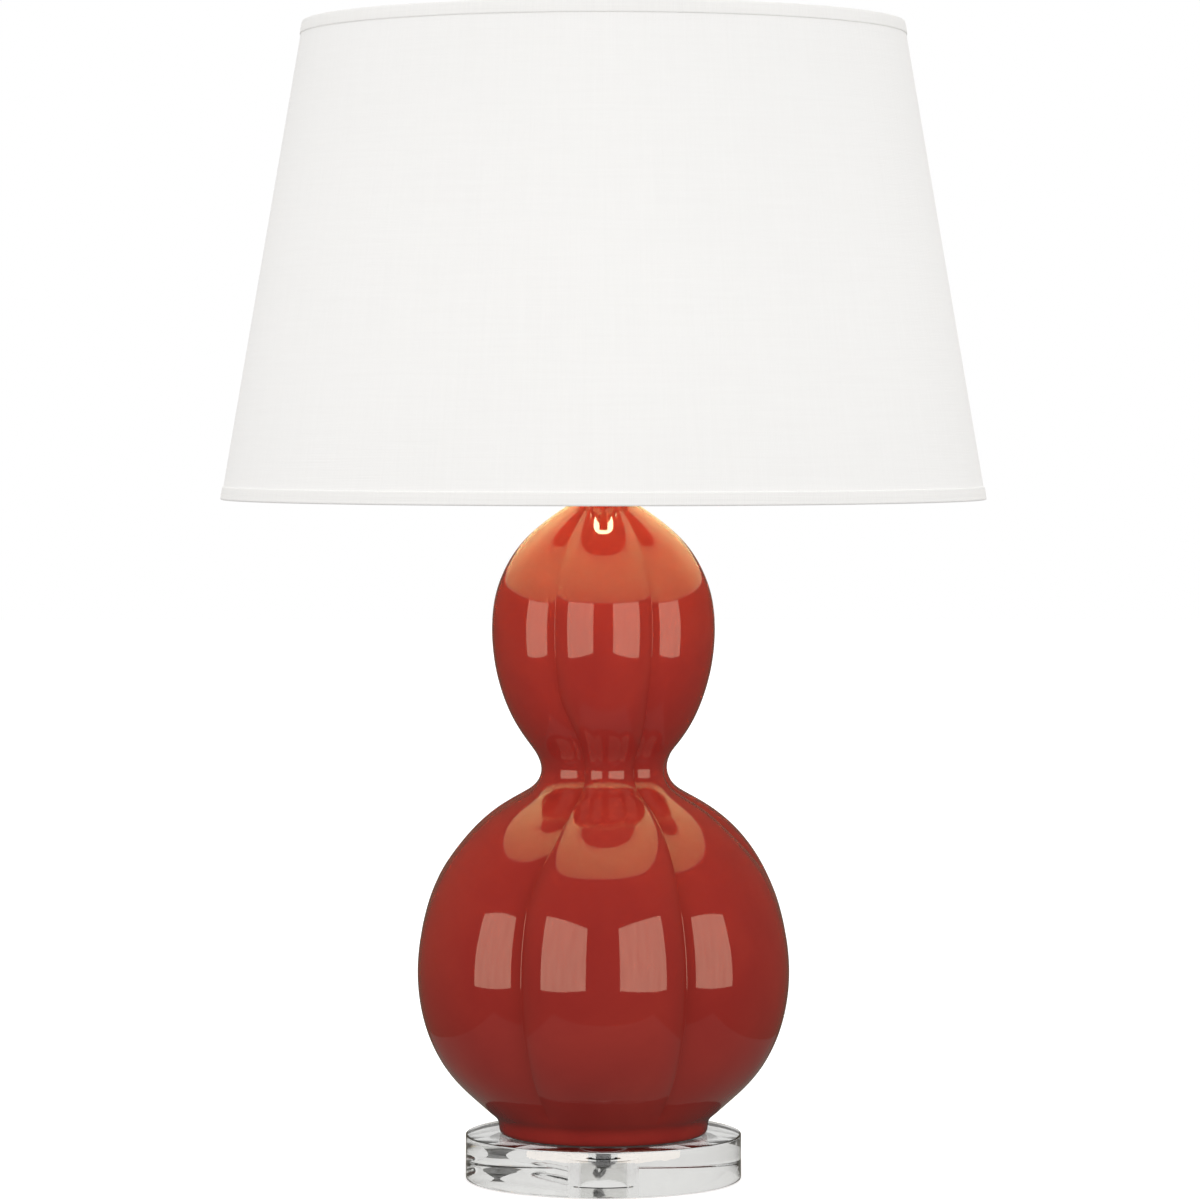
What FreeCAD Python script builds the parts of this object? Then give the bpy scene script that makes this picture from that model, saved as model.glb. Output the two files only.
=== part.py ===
import FreeCAD, Part
import math
import os
import Sketcher
from FreeCAD import Placement, Rotation, Vector

# Double gourd table lamp. Millimetres, +Z up. The origin is the centre of the clear base disc's underside, on the
# table; the front of the lamp faces -Y. The cord leaves the base at the back, ten degrees to the left.

doc = FreeCAD.newDocument("double_gourd_lamp")

# ---------------------------------------------------------------------------------------------- driving sizes
SIZES = [
    # base disc and what is fastened under it
    ("base_dia", 184.0, "clear disc, outside diameter"),
    ("base_thick", 30.0, "clear disc, thickness"),
    ("base_bevel", 0.8, "polished edge break"),
    ("cbore_dia", 31.75, "counterbore in the underside"),
    ("cbore_depth", 15.5, "depth of the counterbore"),
    ("pipe_hole_dia", 10.6, "hole for the pipe through the web"),
    ("cord_hole_dia", 8.0, "radial cord hole"),
    ("cord_hole_z", 5.6, "height of the cord hole's axis"),
    ("cord_hole_turn", 10.0, "degrees from straight back to the left"),
    ("washer_od", 15.6, "steel washer"),
    ("washer_thick", 1.2, "steel washer"),
    ("nut_af", 14.0, "lock nut across flats"),
    ("nut_thick", 3.0, "lock nut"),
    ("nut_bore", 10.1, "lock nut bore"),
    ("pipe_od", 10.0, "lamp pipe outside"),
    ("pipe_id", 7.0, "lamp pipe inside"),
    ("pipe_bottom", 10.6, "lower end of the pipe"),
    ("pipe_top", 482.0, "upper end of the pipe, in the socket cap"),
    ("bush_flange_dia", 9.4, "pipe bushing flange"),
    ("bush_flange", 0.9, "pipe bushing flange thickness"),
    ("bush_od", 6.9, "pipe bushing spigot"),
    ("bush_id", 5.5, "pipe bushing bore"),
    ("bush_len", 4.6, "pipe bushing spigot length"),
    # gourd
    ("lobes", 6, "melon lobes round the body, one facing front"),
    ("groove_soft", 0.12, "softness of the groove between two lobes"),
    ("groove_steep", 3.0, "power that turns the lobe's side in towards the groove"),
    ("front_groove_left", 27.0, "degrees from the front to the groove at its left"),
    ("front_groove_right", 27.2, "degrees from the front to the groove at its right"),
    ("far_groove", 89.0, "degrees from the front to the next groove on either side"),
    ("rear_groove", 149.5, "degrees from the front to the rear grooves"),
    ("waist_drift_left", 9.0, "degrees that the left front groove drifts inwards at the waist"),
    ("waist_drift_right", 3.3, "degrees that the right front groove drifts outwards at the waist"),
    ("crest_pull", 1.8, "degrees that a side crest sits forward of the middle of its lobe"),
    ("side_swell", 0.16, "how much further the side lobes stand out, as a share of the groove depth"),
    ("gourd_wall", 5.5, "wall of the cast body"),
    ("hollow_soft", 0.35, "rounding of the hollow's grooves"),
    ("hollow_steep", 2.2, "how quickly the hollow's lobes fall into its grooves"),
    ("gourd_floor", 6.0, "thickness of the foot"),
    ("gourd_foot_hole", 12.0, "hole for the pipe in the foot"),
    ("gourd_mouth", 24.0, "opening at the top"),
    # neck stack
    ("cap_rim_dia", 44.0, "vase cap"),
    ("cap_rise", 6.8, "vase cap height"),
    ("cap_wall", 1.2, "vase cap metal"),
    ("cap_flat_dia", 17.0, "flat on top of the vase cap"),
    ("spacer_od", 15.0, "neck spacer"),
    ("spacer_len", 9.05, "neck spacer"),
    ("stack_bore", 10.1, "bore of the pieces on the pipe"),
    # harp
    ("saddle_thick", 1.4, "harp saddle strap"),
    ("saddle_width", 14.0, "harp saddle strap"),
    ("harp_leg_x", 26.0, "legs of the harp, from the axis"),
    ("harp_wire", 3.6, "harp wire diameter"),
    ("harp_half", 60.0, "widest half width of the bow"),
    ("harp_rise", 279.3, "saddle to seat, an eleven inch harp"),
    ("post_top", 485.0, "where leg and saddle post meet"),
    ("sleeve_id", 3.76, "lock sleeve bore"),
    ("sleeve_od", 6.2, "lock sleeve"),
    ("sleeve_len", 14.0, "lock sleeve"),
    ("stud_dia", 6.2, "threaded stud for the finial"),
    ("stud_len", 12.4, "threaded stud for the finial"),
    ("stud_plate_dia", 16.0, "seat plate"),
    ("stud_plate", 2.2, "seat plate thickness"),
    # socket
    ("cap_hub_dia", 15.0, "socket cap hub"),
    ("cap_hub_len", 11.3, "socket cap hub"),
    ("socket_dia", 31.8, "socket shell"),
    ("socket_metal", 0.6, "socket shell metal"),
    ("socket_base_z", 493.5, "rim of the socket cap"),
    ("socket_top_z", 531.0, "mouth of the socket"),
    ("switch_z", 499.0, "axis of the switch shaft"),
    ("shaft_dia", 3.0, "switch shaft"),
    ("knob_dia", 13.0, "switch knob"),
    ("knob_len", 14.0, "switch knob"),
    # bulb
    ("bulb_dia", 60.3, "glass envelope"),
    ("bulb_top", 617.0, "top of the envelope"),
    ("bulb_contact_z", 507.3, "lowest point of the bulb"),
    ("bulb_cap_dia", 26.0, "screw cap"),
    ("glass_wall", 0.8, "envelope wall"),
    # shade
    ("shade_bottom_z", 453.9, "lower edge of the fabric"),
    ("shade_top_z", 768.6, "upper edge of the fabric"),
    ("shade_bottom_dia", 507.1, "fabric outside, lower edge"),
    ("shade_top_dia", 398.1, "fabric outside, upper edge"),
    ("fabric_thick", 0.6, "linen"),
    ("liner_thick", 0.5, "stiff liner"),
    ("trim_tall", 8.6, "trim tape outside"),
    ("trim_thick", 0.7, "trim tape"),
    ("ring_wire", 2.6, "wire rings of the shade"),
    ("spider_wire", 3.0, "spider arms"),
    ("hub_dia", 19.0, "spider washer"),
    ("hub_thick", 1.6, "spider washer"),
    ("hub_hole", 6.8, "spider washer hole"),
    # finial
    ("finial_base_dia", 11.0, "finial base"),
    ("finial_ball_dia", 15.0, "finial ball"),
    # cord
    ("cord_dia", 5.0, "width of the two-conductor cord"),
    ("cord_z", 2.6, "centre of the cord where it lies on the table"),
    ("coil_x", 0.0, "centre of the put-away coil"),
    ("coil_y", 268.0, "centre of the put-away coil"),
    ("coil_outer", 40.1, "outside radius of the coil"),
    ("coil_inner", 14.9, "inside radius of the coil"),
    ("coil_low", 0.6, "lowest height of the coil"),
    ("coil_high", 10.8, "highest height of the coil"),
    ("tie_thick", 0.55, "tie band"),
    ("plug_x", 38.0, "plug centre line"),
    ("plug_rear_y", 226.0, "where the cord enters the plug"),
    ("plug_z", 6.5, "plug centre height"),
    ("plug_wide", 20.0, "plug body"),
    ("plug_thick", 12.6, "plug body"),
    ("blade_gap", 12.7, "blade centres"),
]

# Gourd profile: height and front crest radius at each station, with the groove depth as a share of that radius.
PROFILE = [
    (30.00, 66.64, 0.0000), (31.10, 68.55, 0.0000), (33.40, 69.55, 0.0000), (37.00, 70.05, 0.0000),
    (40.43, 71.46, 0.0000), (44.06, 75.46, 0.0102), (48.69, 80.94, 0.0280), (55.75, 89.02, 0.0462),
    (63.41, 97.24, 0.0599), (80.57, 111.12, 0.0739), (100.15, 120.68, 0.0770), (121.24, 126.06, 0.0775),
    (142.83, 127.62, 0.0780), (164.42, 125.50, 0.0784), (185.46, 119.98, 0.0787), (205.50, 111.14, 0.0799),
    (223.72, 98.36, 0.0828), (231.91, 91.09, 0.0853), (239.44, 83.17, 0.0878), (246.17, 74.61, 0.0907),
    (252.10, 65.42, 0.0934), (257.62, 55.71, 0.0958), (264.35, 46.94, 0.0992), (274.39, 43.61, 0.1039),
    (284.51, 47.09, 0.1014), (293.53, 53.56, 0.0986), (312.36, 64.57, 0.0914), (332.60, 71.96, 0.0868),
    (353.84, 75.96, 0.0849), (375.46, 76.36, 0.0834), (396.66, 72.22, 0.0822), (406.76, 68.08, 0.0796),
    (416.25, 62.48, 0.0761), (424.75, 55.77, 0.0731), (432.15, 47.96, 0.0623), (438.95, 39.31, 0.0485),
    (445.45, 30.05, 0.0322), (451.45, 20.43, 0.0082),
]

sheet = doc.addObject("Spreadsheet::Sheet", "Sizes")
VALUE = {}
row = 0


def put_cell(name, number, note):
    global row
    row += 1
    sheet.set("A%d" % row, name)
    sheet.set("B%d" % row, str(number))
    sheet.setAlias("B%d" % row, name)
    sheet.set("C%d" % row, note)
    VALUE[name] = float(number)


for name, number, note in SIZES:
    put_cell(name, number, note)
for i, (pz, pr, pd) in enumerate(PROFILE):
    put_cell("prof_z_%02d" % i, pz, "gourd station height")
    put_cell("prof_r_%02d" % i, pr, "gourd crest radius")
    put_cell("prof_d_%02d" % i, pd, "gourd groove depth, share of radius")
doc.recompute()


class Dim:
    """A length with its number and the sheet expression that drives it."""

    def __init__(self, number, text):
        self.n = float(number)
        self.t = text

    @staticmethod
    def of(v):
        return v if isinstance(v, Dim) else Dim(v, repr(float(v)))

    def _two(self, other, op, fn, flip=False):
        o = Dim.of(other)
        a, b = (o, self) if flip else (self, o)
        return Dim(fn(a.n, b.n), "(%s %s %s)" % (a.t, op, b.t))

    def __add__(self, o):
        return self._two(o, "+", lambda a, b: a + b)

    def __radd__(self, o):
        return self._two(o, "+", lambda a, b: a + b, True)

    def __sub__(self, o):
        return self._two(o, "-", lambda a, b: a - b)

    def __rsub__(self, o):
        return self._two(o, "-", lambda a, b: a - b, True)

    def __mul__(self, o):
        return self._two(o, "*", lambda a, b: a * b)

    def __rmul__(self, o):
        return self._two(o, "*", lambda a, b: a * b, True)

    def __truediv__(self, o):
        return self._two(o, "/", lambda a, b: a / b)

    def __neg__(self):
        return Dim(-self.n, "(0 - %s)" % self.t)


def c(name):
    return Dim(sheet.get(name), "Sizes." + name)


def val(name):
    return float(sheet.get(name))


NODES = []


def keep(obj, label):
    obj.Label = label
    NODES.append(obj)
    return obj


# ---------------------------------------------------------------------------------------------- sketch helpers
def plane(body, role):
    for f in body.Origin.OriginFeatures:
        if f.Role == role:
            return f
    raise RuntimeError("no plane " + role)


def new_sketch(body, role, name, lift=None):
    sk = body.newObject("Sketcher::SketchObject", name)
    sk.AttachmentSupport = [(plane(body, role), "")]
    sk.MapMode = "FlatFace"
    if lift is not None:
        sk.setExpression("AttachmentOffset.Base.z", lift.t)
    return sk


def bind(sk, index, dim):
    if dim.t.replace(".", "", 1).replace("-", "", 1).isdigit():
        return
    sk.setExpression("Constraints[%d]" % index, dim.t)


def pin_point(sk, geo, pos, x, y):
    """Ties one point of the sketch to its two sheet coordinates."""
    for value, kind, axis in ((Dim.of(x), "DistanceX", -2), (Dim.of(y), "DistanceY", -1)):
        if abs(value.n) < 1e-9:
            sk.addConstraint(Sketcher.Constraint("PointOnObject", geo, pos, axis))
        elif value.n > 0:
            i = sk.addConstraint(Sketcher.Constraint(kind, -1, 1, geo, pos, value.n))
            bind(sk, i, value)
        else:
            i = sk.addConstraint(Sketcher.Constraint(kind, geo, pos, -1, 1, -value.n))
            bind(sk, i, -value)


def add_circle(sk, radius, x=0.0, y=0.0):
    x, y, radius = Dim.of(x), Dim.of(y), Dim.of(radius)
    g = sk.addGeometry(Part.Circle(Vector(x.n, y.n, 0), Vector(0, 0, 1), radius.n), False)
    pin_point(sk, g, 3, x, y)
    i = sk.addConstraint(Sketcher.Constraint("Radius", g, radius.n))
    bind(sk, i, radius)
    return g


def add_outline(sk, points):
    """A closed outline. Each item is (x, y) for a line to that point, or (x, y, radius, side) for an arc to it:
    side +1 bulges to the left of the direction of travel, -1 to the right."""
    pts = [tuple(Dim.of(v) for v in p[:2]) for p in points]
    n = len(pts)
    ends = []
    for i in range(n):
        a, b, spec = pts[i - 1], pts[i], points[i]
        pa, pb = Vector(a[0].n, a[1].n, 0), Vector(b[0].n, b[1].n, 0)
        if len(spec) == 2:
            g = sk.addGeometry(Part.LineSegment(pa, pb), False)
            ends.append((g, 1, 2))
        else:
            radius, side = Dim.of(spec[2]), spec[3]
            chord = pb.sub(pa)
            half = chord.Length / 2.0
            sag = radius.n - math.sqrt(max(radius.n ** 2 - half ** 2, 0.0))
            left = Vector(-chord.y, chord.x, 0)
            left.normalize()
            mid = pa.add(pb).multiply(0.5).add(left.multiply(side * sag))
            forward = side < 0          # the sketcher keeps its arcs counter-clockwise
            arc = Part.Arc(pa, mid, pb) if forward else Part.Arc(pb, mid, pa)
            g = sk.addGeometry(arc, False)
            ends.append((g, 1, 2) if forward else (g, 2, 1))
            k = sk.addConstraint(Sketcher.Constraint("Radius", g, radius.n))
            bind(sk, k, radius)
    for i in range(n):
        g, first, last = ends[i]
        g2, first2, last2 = ends[(i + 1) % n]
        sk.addConstraint(Sketcher.Constraint("Coincident", g, last, g2, first2))
        pin_point(sk, g, last, pts[i][0], pts[i][1])


def body_of(label):
    return keep(doc.addObject("PartDesign::Body", label), label)


def turned(label, points, angle=None):
    """A piece turned about the lamp's axis from its half outline in (radius, height)."""
    b = body_of(label)
    sk = new_sketch(b, "XZ_Plane", label + "_outline")
    add_outline(sk, points)
    r = b.newObject("PartDesign::Revolution", label + "_turned")
    r.Profile = sk
    r.ReferenceAxis = (sk, ["V_Axis"])
    r.Angle = 360.0 if angle is None else angle
    if angle is not None:
        r.Midplane = True
    b.Tip = r
    return b


def ringed(label, outer, inner, low, tall):
    """A round tube or washer on the lamp's axis."""
    b = body_of(label)
    sk = new_sketch(b, "XY_Plane", label + "_rings", low)
    add_circle(sk, outer)
    add_circle(sk, inner)
    p = b.newObject("PartDesign::Pad", label + "_pad")
    p.Profile = sk
    p.setExpression("Length", tall.t)
    b.Tip = p
    return b


def hexed(label, flats, bore, low, tall, bevel):
    """A hexagon nut on the lamp's axis."""
    b = body_of(label)
    sk = new_sketch(b, "XY_Plane", label + "_hex", low)
    corner = flats / math.sqrt(3.0)
    add_outline(sk, [(corner * math.cos(math.radians(60 * k)), corner * math.sin(math.radians(60 * k)))
                     for k in range(6)])
    add_circle(sk, bore / 2)
    p = b.newObject("PartDesign::Pad", label + "_pad")
    p.Profile = sk
    p.setExpression("Length", tall.t)
    doc.recompute()
    edges = ["Edge%d" % (i + 1) for i, e in enumerate(p.Shape.Edges)
             if isinstance(e.Curve, Part.Line) and abs(e.Vertexes[0].Z - e.Vertexes[1].Z) < 1e-6]
    ch = b.newObject("PartDesign::Chamfer", label + "_chamfer")
    ch.Base = (p, edges)
    ch.Size = bevel
    b.Tip = ch
    return b


def check_less(what, before, after):
    if not after < before - 1e-3:
        raise RuntimeError(what + " cut nothing")


# ---------------------------------------------------------------------------------------------- base disc
base = body_of("base_disc")
sk = new_sketch(base, "XY_Plane", "base_disc_round")
add_circle(sk, c("base_dia") / 2)
pad = base.newObject("PartDesign::Pad", "base_disc_pad")
pad.Profile = sk
pad.setExpression("Length", c("base_thick").t)
doc.recompute()
rims = ["Edge%d" % (i + 1) for i, e in enumerate(pad.Shape.Edges) if isinstance(e.Curve, Part.Circle)]
edge = base.newObject("PartDesign::Chamfer", "base_disc_edge")
edge.Base = (pad, rims)
edge.setExpression("Size", c("base_bevel").t)
doc.recompute()
v0 = edge.Shape.Volume
sk = new_sketch(base, "XY_Plane", "base_disc_cbore_round")
add_circle(sk, c("cbore_dia") / 2)
cb = base.newObject("PartDesign::Pocket", "base_disc_cbore")
cb.Profile = sk
cb.setExpression("Length", c("cbore_depth").t)
cb.Reversed = True
doc.recompute()
check_less("counterbore", v0, cb.Shape.Volume)
v0 = cb.Shape.Volume
sk = new_sketch(base, "XY_Plane", "base_disc_pipe_round")
add_circle(sk, c("pipe_hole_dia") / 2)
ph = base.newObject("PartDesign::Pocket", "base_disc_pipe_hole")
ph.Profile = sk
ph.setExpression("Length", (c("base_thick") + 1).t)
ph.Reversed = True
doc.recompute()
check_less("pipe hole", v0, ph.Shape.Volume)
v0 = ph.Shape.Volume
sk = new_sketch(base, "XZ_Plane", "base_disc_cord_round")
add_circle(sk, c("cord_hole_dia") / 2, 0.0, c("cord_hole_z"))
ch = base.newObject("PartDesign::Pocket", "base_disc_cord_hole")
ch.Profile = sk
ch.setExpression("Length", (c("base_dia") / 2 + 1).t)
base.Tip = ch
doc.recompute()
check_less("cord hole", v0, ch.Shape.Volume)
if ch.Shape.CenterOfGravity.y > 0:
    ch.Reversed = True
    doc.recompute()
    check_less("cord hole", v0, ch.Shape.Volume)
base.Placement = Placement(Vector(0, 0, 0), Rotation(Vector(0, 0, 1), val("cord_hole_turn")))

under = c("cbore_depth")
ringed("base_washer", c("washer_od") / 2, c("pipe_hole_dia") / 2, under - c("washer_thick"), c("washer_thick"))
hexed("base_lock_nut", c("nut_af"), c("nut_bore"), under - c("washer_thick") - c("nut_thick"), c("nut_thick"), 0.5)
ringed("lamp_pipe", c("pipe_od") / 2, c("pipe_id") / 2, c("pipe_bottom"), c("pipe_top") - c("pipe_bottom"))
pb = c("pipe_bottom")
turned("pipe_bushing", [
    (c("bush_id") / 2, pb - c("bush_flange")), (c("bush_flange_dia") / 2, pb - c("bush_flange")),
    (c("bush_flange_dia") / 2, pb), (c("bush_od") / 2, pb), (c("bush_od") / 2, pb + c("bush_len")),
    (c("bush_id") / 2, pb + c("bush_len"))])

# ---------------------------------------------------------------------------------------------- gourd body
stations = [(float(sheet.get("prof_z_%02d" % i)), float(sheet.get("prof_r_%02d" % i)),
             float(sheet.get("prof_d_%02d" % i))) for i in range(len(PROFILE))]


def ease(low, high, x):
    x = min(1.0, max(0.0, (x - low) / (high - low)))
    return x * x * (3 - 2 * x)


def lobe_places(z):
    """Azimuths from the front of the crests and grooves at a height. They drift a little, as on a hand-pressed body."""
    waist = ease(185.0, 268.0, z) * (1 - ease(285.0, 330.0, z))
    left = val("front_groove_left") - val("waist_drift_left") * waist
    right = val("front_groove_right") + val("waist_drift_right") * waist
    far_l = val("far_groove") + 3.0 * ease(190.0, 230.0, z) * (1 - ease(262.0, 300.0, z))
    far_r = val("far_groove") - 10.0 * ease(200.0, 240.0, z) * (1 - ease(258.0, 300.0, z))
    rear, pull = val("rear_groove"), val("crest_pull")
    return [-180.0, -rear, -(far_l + rear) / 2, -far_l, pull - (left + far_l) / 2, -left, 2.6 * waist, right,
            (right + far_r) / 2 - pull, far_r, (far_r + rear) / 2, rear, 180.0]


SWELL = (0.0, 0.7, 1.0, 0.0, 1.0, 0.7, 0.0)


def lobe_ratio(share, crest, d, e, steepness):
    """Radius over the front crest's. share runs from 0 in a groove to 1 on a crest."""
    top = 1.0 + val("side_swell") * d * SWELL[crest]
    v = (math.sqrt(share * share + e * e) - e) / (math.sqrt(1 + e * e) - e)
    g = (1.0 - v) ** steepness
    return top * (1.0 - (1.0 - (1.0 - d) / top) * g)


def lobed_wire(z, r, d, half_count, soft, steepness):
    """A closed smooth wire with the same parameters at every height, so that the loft's sections match."""
    places = lobe_places(z)
    pts, marks = [], []
    for k in range(2 * int(val("lobes"))):
        to_groove = k % 2 == 0
        crest = k // 2 if to_groove else k // 2 + 1
        for i in range(half_count):
            t = float(i) / half_count
            along = 1.0 - (1.0 - t) ** 1.45 if to_groove else t ** 1.45
            share = 1.0 - along if to_groove else along
            a = math.radians(places[k] + (places[k + 1] - places[k]) * along - 90.0)
            q = r * lobe_ratio(share, crest, d, soft, steepness)
            pts.append(Vector(q * math.cos(a), q * math.sin(a), z))
            marks.append(k + along)
    marks.append(2.0 * int(val("lobes")))
    curve = Part.BSplineCurve()
    curve.interpolate(Points=pts, PeriodicFlag=True, Parameters=marks)
    return Part.Wire([curve.toShape()])


outer = Part.makeLoft([lobed_wire(z, r, d, 9, val("groove_soft"), val("groove_steep")) for z, r, d in stations],
                      True, False)

# Inside: a hollow with the same lobes, softer, a wall's thickness within them.
mouth_r = val("gourd_mouth") / 2
foot_r = val("gourd_foot_hole") / 2
z_floor = stations[0][0] + val("gourd_floor")
z_lip = stations[-1][0]
inner = []
for i in range(2, len(stations) - 1):
    z0, r0, d0 = stations[i - 1]
    z1, r1, d1 = stations[i]
    z2, r2, d2 = stations[i + 1]
    slope = (r2 - r0) / (z2 - z0)
    steep = math.sqrt(1 + slope * slope)
    zi = z1 + val("gourd_wall") * slope / steep
    crest_r, groove_r = r1 - val("gourd_wall") / steep, r1 * (1 - d1) - val("gourd_wall") / steep
    if zi > z_floor + 3 and groove_r > mouth_r + 1.5 and (not inner or zi > inner[-1][0] + 6.0):
        inner.append((zi, crest_r, 1 - groove_r / crest_r))
hollow = Part.makeLoft([lobed_wire(z, r, d, 5, val("hollow_soft"), val("hollow_steep")) for z, r, d in inner], True, False)
low_r = inner[0][1] * (1 - inner[0][2]) - 3.0
floor_cut = Part.makeCylinder(low_r, inner[0][0] + 1.0 - z_floor, Vector(0, 0, z_floor))
foot_cut = Part.makeCylinder(foot_r, z_floor + 2.0 - stations[0][0], Vector(0, 0, stations[0][0] - 1.0))
mouth_cut = Part.makeCylinder(mouth_r, z_lip + 1.0 - inner[-1][0] + 2.0, Vector(0, 0, inner[-1][0] - 2.0))
gourd = keep(doc.addObject("Part::Feature", "gourd_body"), "gourd_body")
gourd_shape = outer.cut([hollow, floor_cut, foot_cut, mouth_cut])
gourd.Shape = gourd_shape.Solids[0] if len(gourd_shape.Solids) == 1 else gourd_shape
gourd.Placement = Placement()
print("gourd volume cm3", round(gourd.Shape.Volume / 1000, 1), "solids", len(gourd.Shape.Solids))

# ---------------------------------------------------------------------------------------------- neck stack
lip = Dim(z_lip, "Sizes.prof_z_%02d" % (len(PROFILE) - 1))
bore = c("stack_bore") / 2
cap_r = c("cap_rim_dia") / 2
cap_top = lip + c("cap_rise")
flat_r = c("cap_flat_dia") / 2
turned("vase_cap", [
    (cap_r - c("cap_wall"), lip), (cap_r, lip), (cap_r, lip + 1.2), (flat_r, cap_top, 24.0, -1), (bore, cap_top),
    (bore, cap_top - c("cap_wall")), (flat_r - 0.2, cap_top - c("cap_wall")),
    (cap_r - c("cap_wall"), lip + 0.9, 24.0, 1)])
spacer_top = cap_top + c("spacer_len")
ringed("neck_spacer", c("spacer_od") / 2, bore, cap_top, c("spacer_len"))
hexed("top_lock_nut", c("nut_af"), c("nut_bore"), spacer_top, c("nut_thick"), 0.5)

# ---------------------------------------------------------------------------------------------- harp saddle
seat = spacer_top + c("nut_thick")
st = c("saddle_thick")
leg = c("harp_leg_x")
arm_top = seat + 6.7
saddle = body_of("harp_saddle")
sk = new_sketch(saddle, "XZ_Plane", "harp_saddle_strap")
add_outline(sk, [
    (-leg - 1.2, arm_top), (-leg - 1.2, seat + 3.4), (-leg + 2.4, seat), (leg - 2.4, seat), (leg + 1.2, seat + 3.4),
    (leg + 1.2, arm_top), (leg - 1.2, arm_top), (leg - 1.2, seat + st + 2.8), (leg - 3.2, seat + st),
    (-leg + 3.2, seat + st), (-leg + 1.2, seat + st + 2.8), (-leg + 1.2, arm_top)])
pad = saddle.newObject("PartDesign::Pad", "harp_saddle_pad")
pad.Profile = sk
pad.Midplane = True
pad.setExpression("Length", c("saddle_width").t)
doc.recompute()
v0 = pad.Shape.Volume
sk = new_sketch(saddle, "XY_Plane", "harp_saddle_round")
add_circle(sk, bore)
hole = saddle.newObject("PartDesign::Pocket", "harp_saddle_hole")
hole.Profile = sk
hole.setExpression("Length", (seat + 10).t)
hole.Reversed = True
doc.recompute()
check_less("saddle hole", v0, hole.Shape.Volume)
sk = new_sketch(saddle, "XY_Plane", "harp_saddle_posts_round", arm_top - 0.2)
add_circle(sk, c("harp_wire") / 2, leg, 0.0)
add_circle(sk, c("harp_wire") / 2, -leg, 0.0)
posts = saddle.newObject("PartDesign::Pad", "harp_saddle_posts")
posts.Profile = sk
posts.setExpression("Length", (c("post_top") - arm_top + 0.2).t)
saddle.Tip = posts

# ---------------------------------------------------------------------------------------------- harp bow


def rounded_path(points, radii=None, share=0.45):
    """Straight runs joined by tangent arcs. Each arc is as large as its two runs allow, unless a radius is given."""
    pts = [Vector(*p) for p in points]
    edges, used, start = [], [], pts[0]
    for i in range(1, len(pts) - 1):
        a = pts[i - 1].sub(pts[i])
        b = pts[i + 1].sub(pts[i])
        short = min(a.Length, b.Length)
        a.normalize()
        b.normalize()
        turn = math.pi - a.getAngle(b)
        tan = math.tan(turn / 2)
        r = share * short / tan
        if radii and radii.get(i):
            r = radii[i]
        cut = r * tan
        p0 = pts[i].add(Vector(a).multiply(cut))
        p2 = pts[i].add(Vector(b).multiply(cut))
        toward = Vector(a).add(b)
        toward.normalize()
        dist = r / math.cos(turn / 2)
        mid = pts[i].add(toward.multiply(dist - r))
        if start.distanceToPoint(p0) > 1e-6:
            edges.append(Part.LineSegment(start, p0).toShape())
        edges.append(Part.Arc(p0, mid, p2).toShape())
        used.append(round(r, 1))
        start = p2
    edges.append(Part.LineSegment(start, pts[-1]).toShape())
    return Part.Wire(edges), used


def tube_along(points, radius, radii=None, share=0.45):
    path, used = rounded_path(points, radii, share)
    first = path.Edges[0]
    d = first.tangentAt(first.FirstParameter)
    ring = Part.Wire([Part.Circle(Vector(*points[0]), d, radius).toShape()])
    solid = path.makePipeShell([ring], True, False)
    want = math.pi * radius * radius * path.Length
    if abs(solid.Volume - want) > 0.01 * want:
        raise RuntimeError("tube volume %.1f, not %.1f" % (solid.Volume, want))
    return solid, path.Length, used


wire_r = val("harp_wire") / 2
seat_z = seat.n
bow_z = seat_z + val("saddle_thick") + val("harp_rise") - val("stud_plate") - wire_r
lx, hx = val("harp_leg_x"), val("harp_half")
pt = val("post_top")
bow_pts = [(lx, 0, pt), (lx, 0, pt + 30), (hx + 1, 0, pt + 108), (hx + 1, 0, pt + 176), (lx + 2, 0, bow_z),
           (-lx - 2, 0, bow_z), (-hx - 1, 0, pt + 176), (-hx - 1, 0, pt + 108), (-lx, 0, pt + 30), (-lx, 0, pt)]
bow_solid, bow_len, bow_radii = tube_along(bow_pts, wire_r, radii={1: 45.0, 4: 30.0, 5: 30.0, 8: 45.0}, share=0.48)
print("harp bow radii", bow_radii, "length", round(bow_len, 1))
bow = keep(doc.addObject("Part::Feature", "harp_bow"), "harp_bow")
bow.Shape = bow_solid
bow.Placement = Placement()

# Stud plate with the clip that holds the bow, and the threaded stud.
bowz = seat + st + c("harp_rise") - c("stud_plate") - c("harp_wire") / 2
plate_low = bowz + c("harp_wire") / 2
plate_top = plate_low + c("stud_plate")
stud = turned("harp_stud", [
    (0.0, plate_low), (c("stud_plate_dia") / 2, plate_low), (c("stud_plate_dia") / 2, plate_top),
    (c("stud_dia") / 2, plate_top), (c("stud_dia") / 2, plate_top + c("stud_len") - 0.8),
    (c("stud_dia") / 2 - 0.8, plate_top + c("stud_len")), (0.0, plate_top + c("stud_len"))])
sk = new_sketch(stud, "YZ_Plane", "harp_stud_clip")
clip_half = c("harp_wire") / 2 + 1.5
add_outline(sk, [(-clip_half, bowz - c("harp_wire") / 2 - 1.4), (clip_half, bowz - c("harp_wire") / 2 - 1.4),
                 (clip_half, plate_low + 0.4), (-clip_half, plate_low + 0.4)])
add_circle(sk, c("harp_wire") / 2 + 0.02, 0.0, bowz)
clip = stud.newObject("PartDesign::Pad", "harp_stud_clip_pad")
clip.Profile = sk
clip.Midplane = True
clip.Length = 13.0
stud.Tip = clip

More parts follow.
